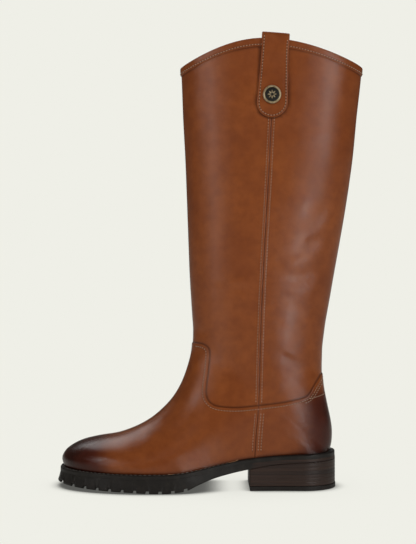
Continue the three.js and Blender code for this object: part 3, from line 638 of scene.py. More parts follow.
def loops_mesh(loops, closed=False):
    """Quads through loops of points, each with the same count, capped unless the last meets the first."""
    loops = np.asarray(loops, float)
    steps, count = loops.shape[:2]
    points = loops.reshape(-1, 3)
    i, j = np.meshgrid(np.arange(steps if closed else steps - 1), np.arange(count), indexing="ij")
    here, there = i * count, ((i + 1) % steps) * count
    k = (j + 1) % count
    quads = np.stack([here + j, here + k, there + k, there + j], -1).reshape(-1, 4)
    faces = [tuple(int(v) for v in quad) for quad in quads]
    if not closed:
        faces.append(tuple(range(count - 1, -1, -1)))
        faces.append(tuple(range((steps - 1) * count, steps * count)))
    return points, faces


def faced_out(points, faces):
    """The same faces turned so that the whole encloses a positive volume."""
    volume = 0
    for face in faces:
        a = points[face[0]]
        for one, two in zip(face[1:-1], face[2:]):
            volume += np.dot(a, np.cross(points[one], points[two]))
    return faces if volume > 0 else [face[::-1] for face in faces]


def solid(name, loops, material, slot, replaces, closed=False, **attributes):
    """A body through loops of points, its faces turned outwards."""
    points, faces = loops_mesh(loops, closed)
    new_object(name, points, faced_out(points, faces), material, slot, replaces, **attributes)


def joined(parts):
    points, faces = [], []
    for some_points, some_faces in parts:
        start = len(points)
        points.extend(some_points)
        faces.extend(tuple(v + start for v in face) for face in some_faces)
    return points, faces


# ---------- materials


def srgb(red, green, blue):
    def linear(value):
        value /= 255
        return value / 12.92 if value <= 0.04045 else ((value + 0.055) / 1.055) ** 2.4

    return (linear(red), linear(green), linear(blue), 1)


class Nodes:
    """Short calls for building one material's node tree."""

    def __init__(self, name):
        self.material = bpy.data.materials.new(name)
        self.material.use_nodes = True
        self.tree = self.material.node_tree
        self.shader = self.tree.nodes["Principled BSDF"]

    def add(self, kind, inputs=None, **settings):
        node = self.tree.nodes.new(kind)
        for key, value in settings.items():
            setattr(node, key, value)
        for key, value in (inputs or {}).items():
            self.put(node, key, value)
        return node

    def put(self, node, key, value):
        socket = node.inputs[key]
        if isinstance(value, bpy.types.NodeSocket):
            self.tree.links.new(value, socket)
        else:
            socket.default_value = value

    def set(self, **inputs):
        for key, value in inputs.items():
            self.put(self.shader, key.replace("_", " "), value)

    def place(self, stretch=(1, 1, 1)):
        coordinates = self.add("ShaderNodeTexCoord")
        return self.add("ShaderNodeMapping", {0: coordinates.outputs["Object"], 3: stretch}).outputs[0]

    def noise(self, scale, detail=3, roughness=0.5, stretch=(1, 1, 1)):
        inputs = {"Vector": self.place(stretch), "Scale": scale, "Detail": detail, "Roughness": roughness}
        return self.add("ShaderNodeTexNoise", inputs).outputs["Fac"]

    def patches(self, scale, detail, low=0.0, high=1.0):
        """Soft patches of a value between two levels."""
        return self.ranged(self.noise(scale, detail), 0.3, 0.7, low, high)

    def cell_edges(self, scale):
        inputs = {"Vector": self.place(), "Scale": scale}
        return self.add("ShaderNodeTexVoronoi", inputs, feature="DISTANCE_TO_EDGE").outputs["Distance"]

    def attribute(self, name):
        return self.add("ShaderNodeAttribute", attribute_name=name).outputs["Fac"]

    def ranged(self, value, low, high, to_low=0.0, to_high=1.0):
        inputs = {0: value, 1: low, 2: high, 3: to_low, 4: to_high}
        return self.add("ShaderNodeMapRange", inputs, interpolation_type="SMOOTHSTEP").outputs[0]

    def math(self, operation, one, two=0.0):
        return self.add("ShaderNodeMath", {0: one, 1: two}, operation=operation).outputs[0]

    def mix(self, share, one, two, blend="MIX"):
        node = self.add("ShaderNodeMix", data_type="RGBA", blend_type=blend)
        self.put(node, 0, share)
        self.put(node, 6, one)
        self.put(node, 7, two)
        return node.outputs[2]

    def bump(self, height, distance, strength=1.0, under=None):
        inputs = {"Height": height, "Distance": distance, "Strength": strength}
        if under is not None:
            inputs["Normal"] = under
        return self.add("ShaderNodeBump", inputs).outputs[0]


LEATHER_LIGHT = srgb(142, 76, 36)
LEATHER_TAN = srgb(129, 66, 30)
LEATHER_DEEP = srgb(100, 46, 20)
BURNISH_RED = srgb(74, 30, 18)
BURNISH_AND_SHADE_DARK = srgb(40, 15, 9)
THREAD = srgb(194, 162, 134)


def leather_material(name):
    """Smooth pull-up calf. One attribute darkens it towards maroon: burnish at toe and heel, and painted
    shade at the shaft's front and back edges. The seam attribute paints shade in grooves, along laid-on
    edges and at the welt.
    """
    n = Nodes(name)
    clouds = n.ranged(n.noise(22, 4, 0.55), 0.3, 0.72)
    fine_clouds = n.ranged(n.noise(95, 4, 0.6), 0.3, 0.75)
    colour = n.mix(clouds, LEATHER_TAN, LEATHER_LIGHT)
    colour = n.mix(n.math("MULTIPLY", fine_clouds, 0.38), colour, LEATHER_DEEP)
    # Burnish, together with painted shade at the shaft's front and back edges.
    burnish = n.attribute("burnish")
    mottled = n.math("MULTIPLY", burnish, n.ranged(n.noise(60, 4, 0.6), 0.1, 0.8, 0.75, 1.1))
    colour = n.mix(n.ranged(mottled, 0, 0.55), colour, BURNISH_RED)
    colour = n.mix(n.ranged(mottled, 0.45, 1), colour, BURNISH_AND_SHADE_DARK)
    # Painted shade in seams, along laid-on edges and at the welt, in the same dark colour.
    colour = n.mix(n.math("MULTIPLY", n.attribute("seam"), 0.75), colour, BURNISH_AND_SHADE_DARK)
    grain = n.cell_edges(1500)
    pores = n.noise(2600, 2, 0.6)
    low = n.noise(70, 3, 0.5)
    bump = n.bump(low, 0.0006, 0.35)
    bump = n.bump(pores, 0.00012, 0.3, bump)
    bump = n.bump(n.ranged(grain, 0, 0.25), 0.00006, 0.35, bump)
    n.set(Base_Color=colour, Roughness=n.ranged(n.noise(40, 4, 0.6), 0.25, 0.75, 0.18, 0.27), Normal=bump)
    n.set(Specular_IOR_Level=0.3, Coat_Weight=0.05, Coat_Roughness=0.22)
    return n.material


def lining_material():
    n = Nodes("lining_leather")
    colour = n.mix(n.patches(30, 4), srgb(176, 132, 92), srgb(150, 106, 70))
    n.set(Base_Color=colour, Roughness=n.patches(300, 2, 0.7, 0.85))
    n.set(Normal=n.bump(n.noise(1800, 3), 0.00015, 0.5))
    return n.material


def thread_material(name, colour):
    n = Nodes(name)
    twist = n.noise(4000, 2)
    shaded = tuple(0.7 * v for v in colour[:3]) + (1,)
    n.set(Base_Color=n.mix(n.ranged(twist, 0.3, 0.7), colour, shaded))
    n.set(Roughness=n.patches(900, 2, 0.5, 0.7), Normal=n.bump(twist, 0.0001, 0.6))
    return n.material


def rubber_material(name, light, dark):
    """Scuffed rubber. Where stacked is 1 it carries the colour of the heel's layers."""
    n = Nodes(name)
    scuffs = n.ranged(n.noise(140, 5, 0.65), 0.42, 0.72)
    layered, _ = stack_colour(n)
    colour = n.mix(n.attribute("stacked"), n.mix(scuffs, dark, light), layered)
    n.set(Base_Color=colour, Roughness=n.patches(60, 4, 0.42, 0.6))
    bump = n.bump(n.noise(900, 3, 0.6), 0.00015, 0.4)
    n.set(Normal=n.bump(n.noise(120, 3), 0.0004, 0.25, bump), Specular_IOR_Level=0.34)
    return n.material


def stack_colour(n):
    """Colour and height of thin horizontal layers of waxed leatherboard."""
    layers = n.noise(1, 2, stretch=(6, 6, 420))
    threads = n.noise(1, 3, 0.6, stretch=(30, 30, 1600))
    colour = n.mix(n.ranged(layers, 0.3, 0.7), srgb(38, 27, 23), srgb(58, 40, 32))
    colour = n.mix(n.math("MULTIPLY", n.ranged(threads, 0.4, 0.75), 0.5), colour, srgb(28, 22, 19))
    bump = n.bump(threads, 0.00025, 0.5)
    return colour, n.bump(layers, 0.0004, 0.4, bump)


def stack_material():
    n = Nodes("stacked_heel")
    colour, bump = stack_colour(n)
    n.set(Base_Color=colour, Roughness=n.patches(50, 4, 0.34, 0.5), Normal=bump, Specular_IOR_Level=0.36)
    return n.material


def brass_material():
    n = Nodes("antique_brass")
    worn = n.ranged(n.noise(420, 4, 0.6), 0.35, 0.65)
    n.set(Base_Color=n.mix(worn, srgb(150, 130, 98), srgb(204, 186, 150)), Metallic=0.6)
    n.set(Roughness=n.patches(700, 3, 0.36, 0.54), Normal=n.bump(n.noise(1500, 3), 0.0001, 0.3))
    return n.material


def enamel_material():
    n = Nodes("black_enamel")
    n.set(Base_Color=n.mix(n.noise(500, 3), srgb(16, 15, 14), srgb(30, 27, 24)))
    n.set(Roughness=n.patches(300, 3, 0.3, 0.45), Normal=n.bump(n.noise(900, 2), 0.00008, 0.3))
    return n.material


def floor_material():
    """Evenly lit paper whose own glow is darkened close to the boot and under it, as a painted shadow."""
    n = Nodes("pale_floor")

    def openness(distance):
        return n.add("ShaderNodeAmbientOcclusion", {"Distance": distance}, samples=16).outputs["AO"]

    # Painted shadow: ambient occlusion darkens the glow, softly over a wide reach and strongly at contact.
    wide = n.ranged(openness(0.10), 0.1, 1.0, 0.86, 1.0)
    close = n.ranged(openness(0.017), 0.25, 0.95, 0.14, 1.0)
    paper = n.mix(1.0, PAPER, n.math("MULTIPLY", wide, close), "MULTIPLY")
    glow = n.add("ShaderNodeEmission", {"Color": paper})
    seen = n.add("ShaderNodeLightPath").outputs["Is Camera Ray"]
    n.put(glow, "Strength", n.ranged(seen, 0, 1, FLOOR_GLOW, 1.0))
    output = next(node for node in n.tree.nodes if node.type == "OUTPUT_MATERIAL")
    n.tree.links.new(glow.outputs[0], output.inputs["Surface"])
    return n.material


PAPER = srgb(239, 239, 231)
# Strength with which floor and backdrop light the boot. The camera sees both at full strength.
FLOOR_GLOW = 0.53
BACKDROP_GLOW = 0.075
LEATHER = leather_material("tan_leather")
LINING = lining_material()
TAN_THREAD = thread_material("tan_thread", THREAD)
WELT_THREAD = thread_material("grey_thread", srgb(96, 90, 82))
# Dark sunk pieces between stitches: painted shade in the needle holes.
HOLE_SHADE = thread_material("needle_hole_shade", srgb(38, 17, 10))
RUBBER = rubber_material("black_rubber", srgb(37, 32, 28), srgb(25, 21, 18))
LIFT_RUBBER = rubber_material("heel_rubber", srgb(40, 34, 30), srgb(26, 22, 19))
STACK = stack_material()
BRASS = brass_material()
ENAMEL = enamel_material()

# ---------- leather: relief and colour

STITCH_FROM_SEAM = 2.7

# Soft folds of the shaft: where, how long and wide, how deep (negative stands out), lean in degrees.
FOLD_NAMES = ("side", "x", "z", "long", "wide", "deep", "lean")
FOLDS = [
    (OUTER, -57, 190, 17, 3.5, 0.4, 1),
    (OUTER, -57, 197, 19, 4.5, -0.35, 1),
    (OUTER, 8, 339, 20, 3.5, 0.5, -14),
    (OUTER, 14, 330, 17, 4.5, -0.45, -16),
    (OUTER, 36, 294, 20, 12, 0.6, 25),
    (OUTER, 24, 262, 20, 10, 0.75, 34),
    (OUTER, 30, 246, 14, 7, -0.4, 34),
    (OUTER, 16, 232, 18, 7, 0.7, 38),
    (OUTER, 2, 216, 14, 6, -0.4, 30),
    (OUTER, 9, 202, 17, 8, 0.8, 12),
    (OUTER, 14, 187, 14, 7, -0.45, -6),
    (OUTER, 10, 172, 18, 8, 0.45, -10),
    (OUTER, 6, 146, 16, 9, 0.4, 10),
    (OUTER, -6, 131, 14, 6, -0.4, -20),
    (OUTER, 0, 119, 16, 6, 0.75, -24),
    (OUTER, -8, 108, 12, 5, -0.3, -28),
    (OUTER, 4, 98, 18, 7, 0.4, -6),
    (OUTER, 20, 237, 12, 3.2, 0.28, 14),
    (OUTER, 26, 226, 12, 3.2, -0.24, 22),
    (OUTER, 10, 193, 11, 3.2, 0.26, -8),
    (OUTER, -2, 184, 10, 3.2, 0.24, 16),
    (OUTER, 8, 158, 10, 3.4, 0.24, -20),
    (OUTER, -4, 125, 12, 3.2, 0.28, -30),
    (OUTER, 8, 112, 12, 3.2, 0.26, -14),
    (OUTER, -88, 150, 10, 6, 0.5, 0),
    (OUTER, -92, 128, 12, 7, 0.4, 10),
    (OUTER, -142, 52, 4, 10, 0.35, -38),
    (OUTER, -131, 56, 4, 10, -0.35, -38),
    (OUTER, -122, 62, 4, 12, 0.3, -44),
    (INNER, -40, 170, 34, 8, 0.6, 6),
    (INNER, 4, 200, 26, 9, 0.7, -12),
    (INNER, 8, 150, 22, 8, 0.6, 10),
    (INNER, -70, 240, 26, 9, 0.4, -5),
    (INNER, 0, 300, 30, 12, 0.5, 12),
]
# How much a fold curves, how far round the leg it fades out, and the height of the slow waves.
FOLD_SAG = 0.006
SIDE_BLEND = 16
WAVE_DEPTH = 0.35


def fold_relief(point):
    """How far the leather moves in or out along its folds and in its slow waves."""
    x, y, z = point.T
    moved = np.zeros(len(point))
    for row in FOLDS:
        fold = dict(zip(FOLD_NAMES, row))
        lean = math.radians(fold["lean"])
        dx, dz = x - fold["x"], z - fold["z"]
        along = dx * math.cos(lean) + dz * math.sin(lean)
        across = -dx * math.sin(lean) + dz * math.cos(lean)
        bend = across - FOLD_SAG * along * along
        shape = np.exp(-((along / fold["long"]) ** 2) - (bend / fold["wide"]) ** 2)
        same_side = smooth(0.5 + fold["side"] * y / SIDE_BLEND)
        moved -= fold["deep"] * shape * same_side
    waves = WAVE_DEPTH * np.sin(z / 31 + x / 60 + 1.3) * np.sin(x / 27 - z / 90)
    return moved + waves * ramp(z, 90, 60) * ramp(z, 395, -40)


# Distance from the middle of a side seam, and how far the leather stands out there.
SEAM_PROFILE = [(0, -0.5), (0.25, -0.25), (0.55, 0.1), (1.0, 0.26), (1.7, 0.26), (2.4, 0.08), (3.3, 0)]
# Distance in from the cut edge of the foot's leather, and how far it is rounded down there.
RIM_PROFILE = [(0, -0.75), (0.12, -0.42), (0.35, -0.16), (0.9, 0)]


def along_profile(distance, profile):
    """Straight between the profile's rows, so that every point between two of them lies on one facet."""
    reach, height = zip(*profile)
    return np.interp(distance, reach, height)


def burnish_at(point):
    """Burnish at the toe and the heel's back, darker towards the sole's edge, and painted shade along the
    shaft's front and back edges, from 0 to 1.
    """
    x, _, z = point.T
    over_sole = z - feather_z(x)
    toe = ramp(x, -150, -62) ** 1.35 * (0.85 + 0.15 * ramp(z, 42, -34))
    toe = clamped(toe * (1 - 0.3 * ramp(over_sole, 7, -7)))
    heel = 0.66 * ramp(x, -14, 48) * ramp(z, 104, -26)
    edge = 0.14 * ramp(over_sole, 9, -9)
    # Painted shade where the shaft's back and front turn away from the light.
    back_edge_shade = 0.16 * ramp(x - (z - 100) * 0.12, 26, 26)
    front_edge_shade = 0.16 * ramp(x, -86, -16) * ramp(z, 60, 60)
    return clamped(np.maximum(toe, heel) + edge + back_edge_shade + front_edge_shade)


SIDE_LEVELS = sorted({sign * reach for reach, _ in SEAM_PROFILE for sign in (-1, 1)})
RIM_LEVELS = [reach for reach, _ in RIM_PROFILE[1:]]
SHADE_LEVELS = (0, 0.6, 1.2, 2)
EVENING_STEPS = 60
EVENING_IN = 0.6
EVENING_OUT = -0.62


def line_at(distance, wide):
    """A dark line: 1 in its middle, fading over a width."""
    return np.exp(-((distance / wide) ** 2))


def from_strap(point):
    """Distance outside the outline of the pull strap, in the side view."""
    z = point[:, 2]
    across = np.abs(point[:, 0] - seam_x(z))
    round_z = STRAP_LOW_Z + STRAP_WIDE / 2
    half = STRAP_WIDE / 2 - (STRAP_WIDE - STRAP_NARROW) / 2 * ramp(z, round_z, STRAP_TAPER)
    return np.where(z > round_z, across, np.hypot(across, np.minimum(z - round_z, 0))) - half


def painted_seam_shade(point, side_seam, top_seam):
    """Painted shade in seams, along edges laid on the leather and at the welt."""
    x, _, z = point.T
    lines = [
        0.9 * line_at(side_seam, 0.42),
        0.9 * line_at(top_seam - 0.4, 0.8),
        0.9 * line_at(collar_z(x) - BINDING_TALL - z, 1.1),
        0.85 * line_at(np.maximum(from_strap(point), 0), 0.9),
        line_at(z - feather_z(x), 2.0),
    ]
    return clamped(np.maximum.reduce(lines))


# Rows over the feather line where the leather moves level only, and its clearance over the welt.
LEVEL_ROWS = 1.5
WELT_CLEAR = 0.12


def shaped(sheet, rise, foot):
    """Lifts a sheet into space with its folds and seams, and gives its colour attributes: burnish with
    painted edge shade, and painted seam shade.
    """
    point = sheet.points()
    normal = boot_normal(sheet.param[:, 0], sheet.param[:, 1])
    low = smooth(1 - sheet.param[:, 0] / LEVEL_ROWS)
    normal[:, 2] *= 1 - low
    normal /= np.maximum(np.linalg.norm(normal, axis=1, keepdims=True), 1e-6)
    side_seam = behind_side_seam(point)
    top_seam = above_top_seam(point)
    out = rise + fold_relief(point) + along_profile(np.abs(side_seam), SEAM_PROFILE)
    if foot:
        out = out + along_profile(-top_seam, RIM_PROFILE)
    lifted = point + normal * out[:, None]
    lifted[:, 2] = np.maximum(lifted[:, 2], feather_z(lifted[:, 0]) + WELT_CLEAR)
    return lifted, burnish_at(point), painted_seam_shade(point, side_seam, top_seam)


def evened(points, faces):
    """Evens out the last's fan of rows at the back of the heel, without shrinking it."""
    edges = np.unique(np.sort(edges_of(faces), axis=1), axis=0)
    count = np.bincount(edges.ravel(), minlength=len(points))[:, None]
    x, _, z = points.T
    share = (ramp(x, -22, 16) * ramp(z, 82, -10) * ramp(z - feather_z(x), 0.3, 3))[:, None]
    for amount in (EVENING_IN, EVENING_OUT) * EVENING_STEPS:
        total = np.zeros_like(points)
        np.add.at(total, edges[:, 0], points[edges[:, 1]])
        np.add.at(total, edges[:, 1], points[edges[:, 0]])
        points = points + amount * share * (total / np.maximum(count, 1) - points)
    return points


def thick_sheet(name, sheet, rise, depth, node, foot=False):
    """Leather of a depth. The foot's is rounded down at the top seam and evened at the heel."""
    points, burnish, seam = shaped(sheet, rise, foot)
    points, faces, burnish, seam = welded(points, sheet.faces, burnish, seam)
    if foot:
        points = evened(points, faces)
    points, faces = thickened(points, faces, depth)
    burnish, seam = np.tile(burnish, 2), np.tile(seam, 2)
    new_object(name, points, faces, LEATHER, "leather", [node], burnish=burnish, seam=seam)


def even_rows(first, last, gap):
    """Rows of the boot's grid about evenly apart along its front and back."""
    dense = np.linspace(first, last, 1500)
    front = boot_point(dense, np.zeros_like(dense))
    back = boot_point(dense, np.full_like(dense, 0.999))
    side = boot_point(dense, np.full_like(dense, 0.5))
    steps = [np.linalg.norm(np.diff(line, axis=0), axis=1) for line in (front, back, side)]
    step = np.maximum.reduce(steps)
    length = np.concatenate([[0], np.cumsum(step)])
    return np.interp(np.linspace(0, length[-1], int(length[-1] / gap) + 1), length, dense)


FOOT_TOP_ROW = 23
SHAFT_LOW_ROW = 9.3
FOOT_DEPTH = 1.3
SHAFT_DEPTH = 1.1
# How far the shaft's leather runs down under the foot's.
TUCK = 7
LINING_SET_BACK = 1.5
LINING_DEPTH = 0.5


def foot_leather():
    sheet = Sheet(even_rows(0, FOOT_TOP_ROW, 2.4), np.linspace(-1, 1, 121))
    sheet.split(above_top_seam, 0)
    sheet.keep(above_top_seam, -1e9, 0)
    for level in RIM_LEVELS:
        sheet.split(above_top_seam, -level)
    for level in SIDE_LEVELS:
        sheet.split(behind_side_seam, level)
    thick_sheet("foot_leather", sheet, FOOT_PROUD, FOOT_DEPTH, "upper", foot=True)


def shaft_leather():
    sheet = Sheet(even_rows(SHAFT_LOW_ROW, TOP_ROW, 2.6), np.linspace(-1, 1, 141))
    sheet.split(above_top_seam, -TUCK)
    sheet.keep(above_top_seam, -TUCK, 1e9)
    for level in SHADE_LEVELS:
        sheet.split(above_top_seam, level)
    for level in SIDE_LEVELS:
        sheet.split(behind_side_seam, level)
    thick_sheet("shaft_leather", sheet, -0.1, SHAFT_DEPTH, "shaft")


def lining():
    """The plain inside, from the insole to the collar."""
    sheet = Sheet(even_rows(0, TOP_ROW, 6), np.linspace(-1, 1, 73))
    points = sheet.points() - boot_normal(sheet.param[:, 0], sheet.param[:, 1]) * LINING_SET_BACK
    points, faces = welded(points, sheet.faces)
    points, faces = thickened(points, faces, LINING_DEPTH)
    new_object("lining", points, faces, LINING, "leather")


foot_leather()
shaft_leather()
lining()

# ---------- stitches


STITCH_SIDES = 6
STITCH_MARGIN = 0.5
STITCH_SINK = 0.1
STITCH_BLUNT = 0.92
STITCH_BED = 0.45
HOLE_LAP = 0.35
HOLE_SUNK = 0.04
# Height of the threads' beds over the last, on the shaft, at the foot's side seam and its top seam.
SHAFT_THREAD = -0.2
FOOT_THREAD = FOOT_PROUD - 0.1
TOP_THREAD = FOOT_PROUD - 0.08
# Pitch of a row of stitches, and the length and radius of each thread.
STITCHES = {
    "side_seam": (2.8, 1.55, 0.4),
    "top_seam": (2.7, 1.5, 0.42),
    "gusset": (1.9, 1.6, 0.34),
    "binding": (2.8, 1.55, 0.42),
    "strap": (2.8, 1.55, 0.44),
    "welt": (4.4, 3.3, 0.42),
}


def stitches_along(line, normals, pitch, long, radius, shift=0.5, sunk=0.0, rings=5):
    """Short rounded threads laid end to end along a line, each a little sunk at its ends."""
    line, normals = np.asarray(line), np.asarray(normals)
    steps = np.linalg.norm(np.diff(line, axis=0), axis=1)
    length = np.concatenate([[0], np.cumsum(steps)])
    count = max(1, int((length[-1] - 2 * STITCH_MARGIN) / pitch))
    turns = 2 * math.pi * np.arange(STITCH_SIDES)[:, None] / STITCH_SIDES
    girth = np.sqrt(np.maximum(0, 1 - np.linspace(-1, 1, rings) ** 2 * STITCH_BLUNT))[:, None]
    lift = radius * (girth - STITCH_BED) - STITCH_SINK * (1 - girth) - sunk

    def sample(values, at):
        return np.stack([np.interp(at, length, values[:, k]) for k in range(3)], -1)

    parts = []
    for i in range(count):
        at = STITCH_MARGIN + pitch * (i + shift) + long * np.linspace(-0.5, 0.5, rings)
        centre, out = sample(line, at), sample(normals, at)
        out /= np.linalg.norm(out, axis=1, keepdims=True)
        along = centre[-1] - centre[0]
        across = np.cross(out, along / np.linalg.norm(along))
        ring = across[:, None] * np.cos(turns) + out[:, None] * np.sin(turns)
        parts.append(loops_mesh((centre + out * lift)[:, None] + ring * (radius * girth)[:, None]))
    return joined(parts)


def add_stitches(name, rows, material, slot):
    """Rows of thread, and dark pieces between them that paint the shade in the needle holes. A row is a
    line with its normals, the pitch, and the length and radius of a thread."""
    points, faces = joined([stitches_along(*row) for row in rows])
    new_object(name, points, faces, material, slot)
    holes = []
    for line, normals, pitch, long, radius in rows:
        reach = pitch - long + HOLE_LAP
        hole = stitches_along(line, normals, pitch, reach, radius, shift=0, sunk=HOLE_SUNK, rings=3)
        holes.append(hole)
    points, faces = joined(holes)
    new_object(name + "_hole_shade", points, faces, HOLE_SHADE, slot)


def on_leather(line, side, rise):
    """Points and normals of a line of the side view, lying on the leather with its folds."""
    line = np.asarray(line, float)
    point, normal = surface(line[:, 0], line[:, 1], side)
    out = rise + fold_relief(point)
    return point + normal * out[:, None], normal


def shifted(line, distance):
    """A line of the side view moved to its left."""
    line = np.asarray(line, float)
    along = np.gradient(line, axis=0)
    along /= np.linalg.norm(along, axis=1, keepdims=True)
    return line + np.stack([-along[:, 1], along[:, 0]], -1) * distance


def seam_row(heights, across):
    """A line beside the side seam, and its distance above the top seam."""
    line = np.stack([seam_x(heights) + across, heights], -1)
    return line, signed_distance(line[:, 0], line[:, 1], TOP_LINE)


def side_seam_stitches():
    rows = []
    for side in (OUTER, INNER):
        heights = np.arange(82.5, 422, 2.0)
        for across in (-STITCH_FROM_SEAM, STITCH_FROM_SEAM):
            line, above = seam_row(heights, across)
            keep = (above > 1.5) & (heights < collar_z(line[:, 0]) - BINDING_TALL - 1)
            rows.append((*on_leather(line[keep], side, SHAFT_THREAD), *STITCHES["side_seam"]))
        heights = np.arange(37, 77, 2.0)
        for across in (-STITCH_FROM_SEAM, STITCH_FROM_SEAM, 2 * STITCH_FROM_SEAM):
            line, above = seam_row(heights, across)
            keep = (above < -4) & (heights > feather_z(line[:, 0]) + 2)
            rows.append((*on_leather(line[keep], side, FOOT_THREAD), *STITCHES["side_seam"]))
    add_stitches("side_seam_stitches", rows, TAN_THREAD, "leather")


# Lower edge of the small back gusset.
GUSSET = [(14.5, 86), (20, 87), (27, 88.6), (31.5, 89.6)]


def top_seam_stitches():
    rows = []
    seam = TOP_LINE[:, 0]
    for side in (OUTER, INNER):
        first = shifted(TOP_LINE, -3.2)[(seam > -97) & (seam < 29)]
        second = shifted(TOP_LINE, -5.4)[(seam > 8) & (seam < 29)]
        rows.append((*on_leather(first, side, TOP_THREAD), *STITCHES["top_seam"]))
        rows.append((*on_leather(second, side, TOP_THREAD), *STITCHES["top_seam"]))
        rows.append((*on_leather(spline(GUSSET, 4), side, TOP_THREAD), *STITCHES["gusset"]))
    add_stitches("top_seam_stitches", rows, TAN_THREAD, "leather")


side_seam_stitches()
top_seam_stitches()

# ---------- collar binding

# Where the binding's stitches lie above its lower edge, and how deep they sit in it.
BINDING_SEWN = 1.9
BINDING_DENT = 0.12


def binding():
    """A strip folded over the collar's edge: flat outside, rounded on top."""
    turns = np.linspace(-1, 1, 221)[:-1]
    heights = boot_point(np.full_like(turns, TOP_ROW), turns)[:, 2]
    low = -BINDING_TALL
    inner = -WALL - BINDING_PROUD
    half = WALL / 2 + BINDING_PROUD
    # Distance out from the shaft's surface, and height from the collar.
    profile = [
        (BINDING_PROUD - 0.55, low), (BINDING_PROUD - 0.1, low + 0.35), (BINDING_PROUD, low + 1),
        (BINDING_PROUD - BINDING_DENT, low + BINDING_SEWN), (BINDING_PROUD, low + 2.8),
        (BINDING_PROUD + 0.05, -4),
    ]
    for degrees in range(0, 181, 20):
        angle = math.radians(degrees)
        profile.append((-WALL / 2 + half * math.cos(angle), -1.5 + 1.8 * math.sin(angle)))
    profile += [(inner, -4), (inner, low + 0.4), (inner + 0.5, low)]
    normal = collar_normal(turns)

    def ring(out, down):
        return last_point(place_at_height(heights + down), turns) + normal * out

    loops = np.stack([ring(out, down) for out, down in profile], 1)
    solid("binding", loops, LEATHER, "leather", ["collar_binding"], closed=True, burnish=0.1, seam=0)
    sewn = ring(BINDING_PROUD - BINDING_DENT, low + BINDING_SEWN)
    row = (np.vstack([sewn, sewn[:1]]), np.vstack([normal, normal[:1]]), *STITCHES["binding"])
    add_stitches("binding_stitches", [row], TAN_THREAD, "leather")


def collar_normal(turns):
    normal = boot_normal(np.full_like(turns, TOP_ROW), turns)
    normal[:, 2] = 0
    return normal / np.linalg.norm(normal, axis=1, keepdims=True)


binding()

# ---------- pull straps

STRAP_CLEAR = 1.3 * GAP + BINDING_PROUD
# How far the stitches lie in from the strap's edge, and the angle round its lower end from
# which they follow the edges.
STRAP_EDGE = 2.1
STRAP_BEND_END = 66
STRAP_SEWN_ROWS = 21
STRAP_SUNK = 0.1
STRAP_DENT = 0.14
STRAP_ROUND = 0.9
# How much the strap drops to the rear where it folds over the collar.
STRAP_TILT = 0.075
STRAP_SHARES = [-1, -0.985, -0.94, -0.86, -0.78, -0.5, 0, 0.5, 0.78, 0.86, 0.94, 0.985, 1]


def strap_path():
    """Height, distance of the middle from the shaft and half width along a strap, outer end first."""
    round_end = STRAP_WIDE / 2
    out = GAP + STRAP_THICK / 2
    rows = []
    for degrees in (3, 10, 20, 32, 45, 58, 70, 80, 90):
        angle = math.radians(degrees)
        rows.append((STRAP_LOW_Z + round_end * (1 - math.cos(angle)), out, round_end * math.sin(angle)))
    narrow = STRAP_NARROW / 2
    for z in np.arange(371, 401, 5.0):
        rows.append((z, out, round_end + (narrow - round_end) * (z - 367) / STRAP_TAPER))
    rows += [(404, out, narrow + 0.3), (409, out + 0.3, narrow + 0.1)]
    clear = STRAP_CLEAR + STRAP_THICK / 2
    rows += [(414, clear - 0.1, narrow), (420, clear, narrow)]
    radius = (WALL + 2 * STRAP_CLEAR + STRAP_THICK) / 2
    arc_z = STRAP_TOP_Z - radius - STRAP_THICK / 2
    for degrees in range(0, 181, 15):
        angle = math.radians(degrees)
        rows.append((arc_z + radius * math.sin(angle), -WALL / 2 + radius * math.cos(angle), narrow))
    inside = -WALL - clear
    for z in (420, 410, 400, 390, 380, STRAP_INSIDE_LOW_Z):
        rows.append((z, inside, narrow))
    return np.array(rows)


@functools.lru_cache(maxsize=None)
def strap_frames(side):
    """The strap's path, and the directions out of its surface along it."""
    path = strap_path()
    z = path[:, 0]
    foot, normal = surface(seam_x(z), z, side)
    middle = foot + normal * path[:, 1:2]
    along = np.gradient(middle, axis=0)
    along[:, 0] = 0
    along /= np.linalg.norm(along, axis=1, keepdims=True)
    return path, np.stack([np.zeros(len(z)), -along[:, 2], along[:, 1]], -1) * -side


def strap_surface(side, across, rise):
    """Points of a strap at shares of its half width and distances from its mid layer."""
    path, out = strap_frames(side)
    z = path[:, 0]
    x = seam_x(z) + across * path[:, 2]
    foot, normal = surface(x, z, side)
    point = foot + normal * path[:, 1:2] + out * np.reshape(rise, (-1, 1))
    point[:, 0] = x
    point[:, 2] -= STRAP_TILT * (x - seam_x(z)) * ramp(z, 395, 30)
    return point, out


def strap(name, side, node):
    """Folded leather with rounded edges and a shallow dent for the stitches near each."""
    half = strap_path()[:, 2]
    upper, lower = [], []
    for share in STRAP_SHARES:
        edge = (1 - abs(share)) * half
        dent = STRAP_DENT * line_at(edge - STRAP_EDGE, 0.55) if abs(share) < 0.99 else 0
        rise = STRAP_THICK / 2 * (0.15 + 0.85 * quarter_round(edge, STRAP_ROUND))
        upper.append(strap_surface(side, share, rise - dent)[0])
        lower.append(strap_surface(side, share, -rise)[0])
    solid(name, np.stack(upper + lower[::-1], 1), LEATHER, "leather", [node], burnish=0.06, seam=0)


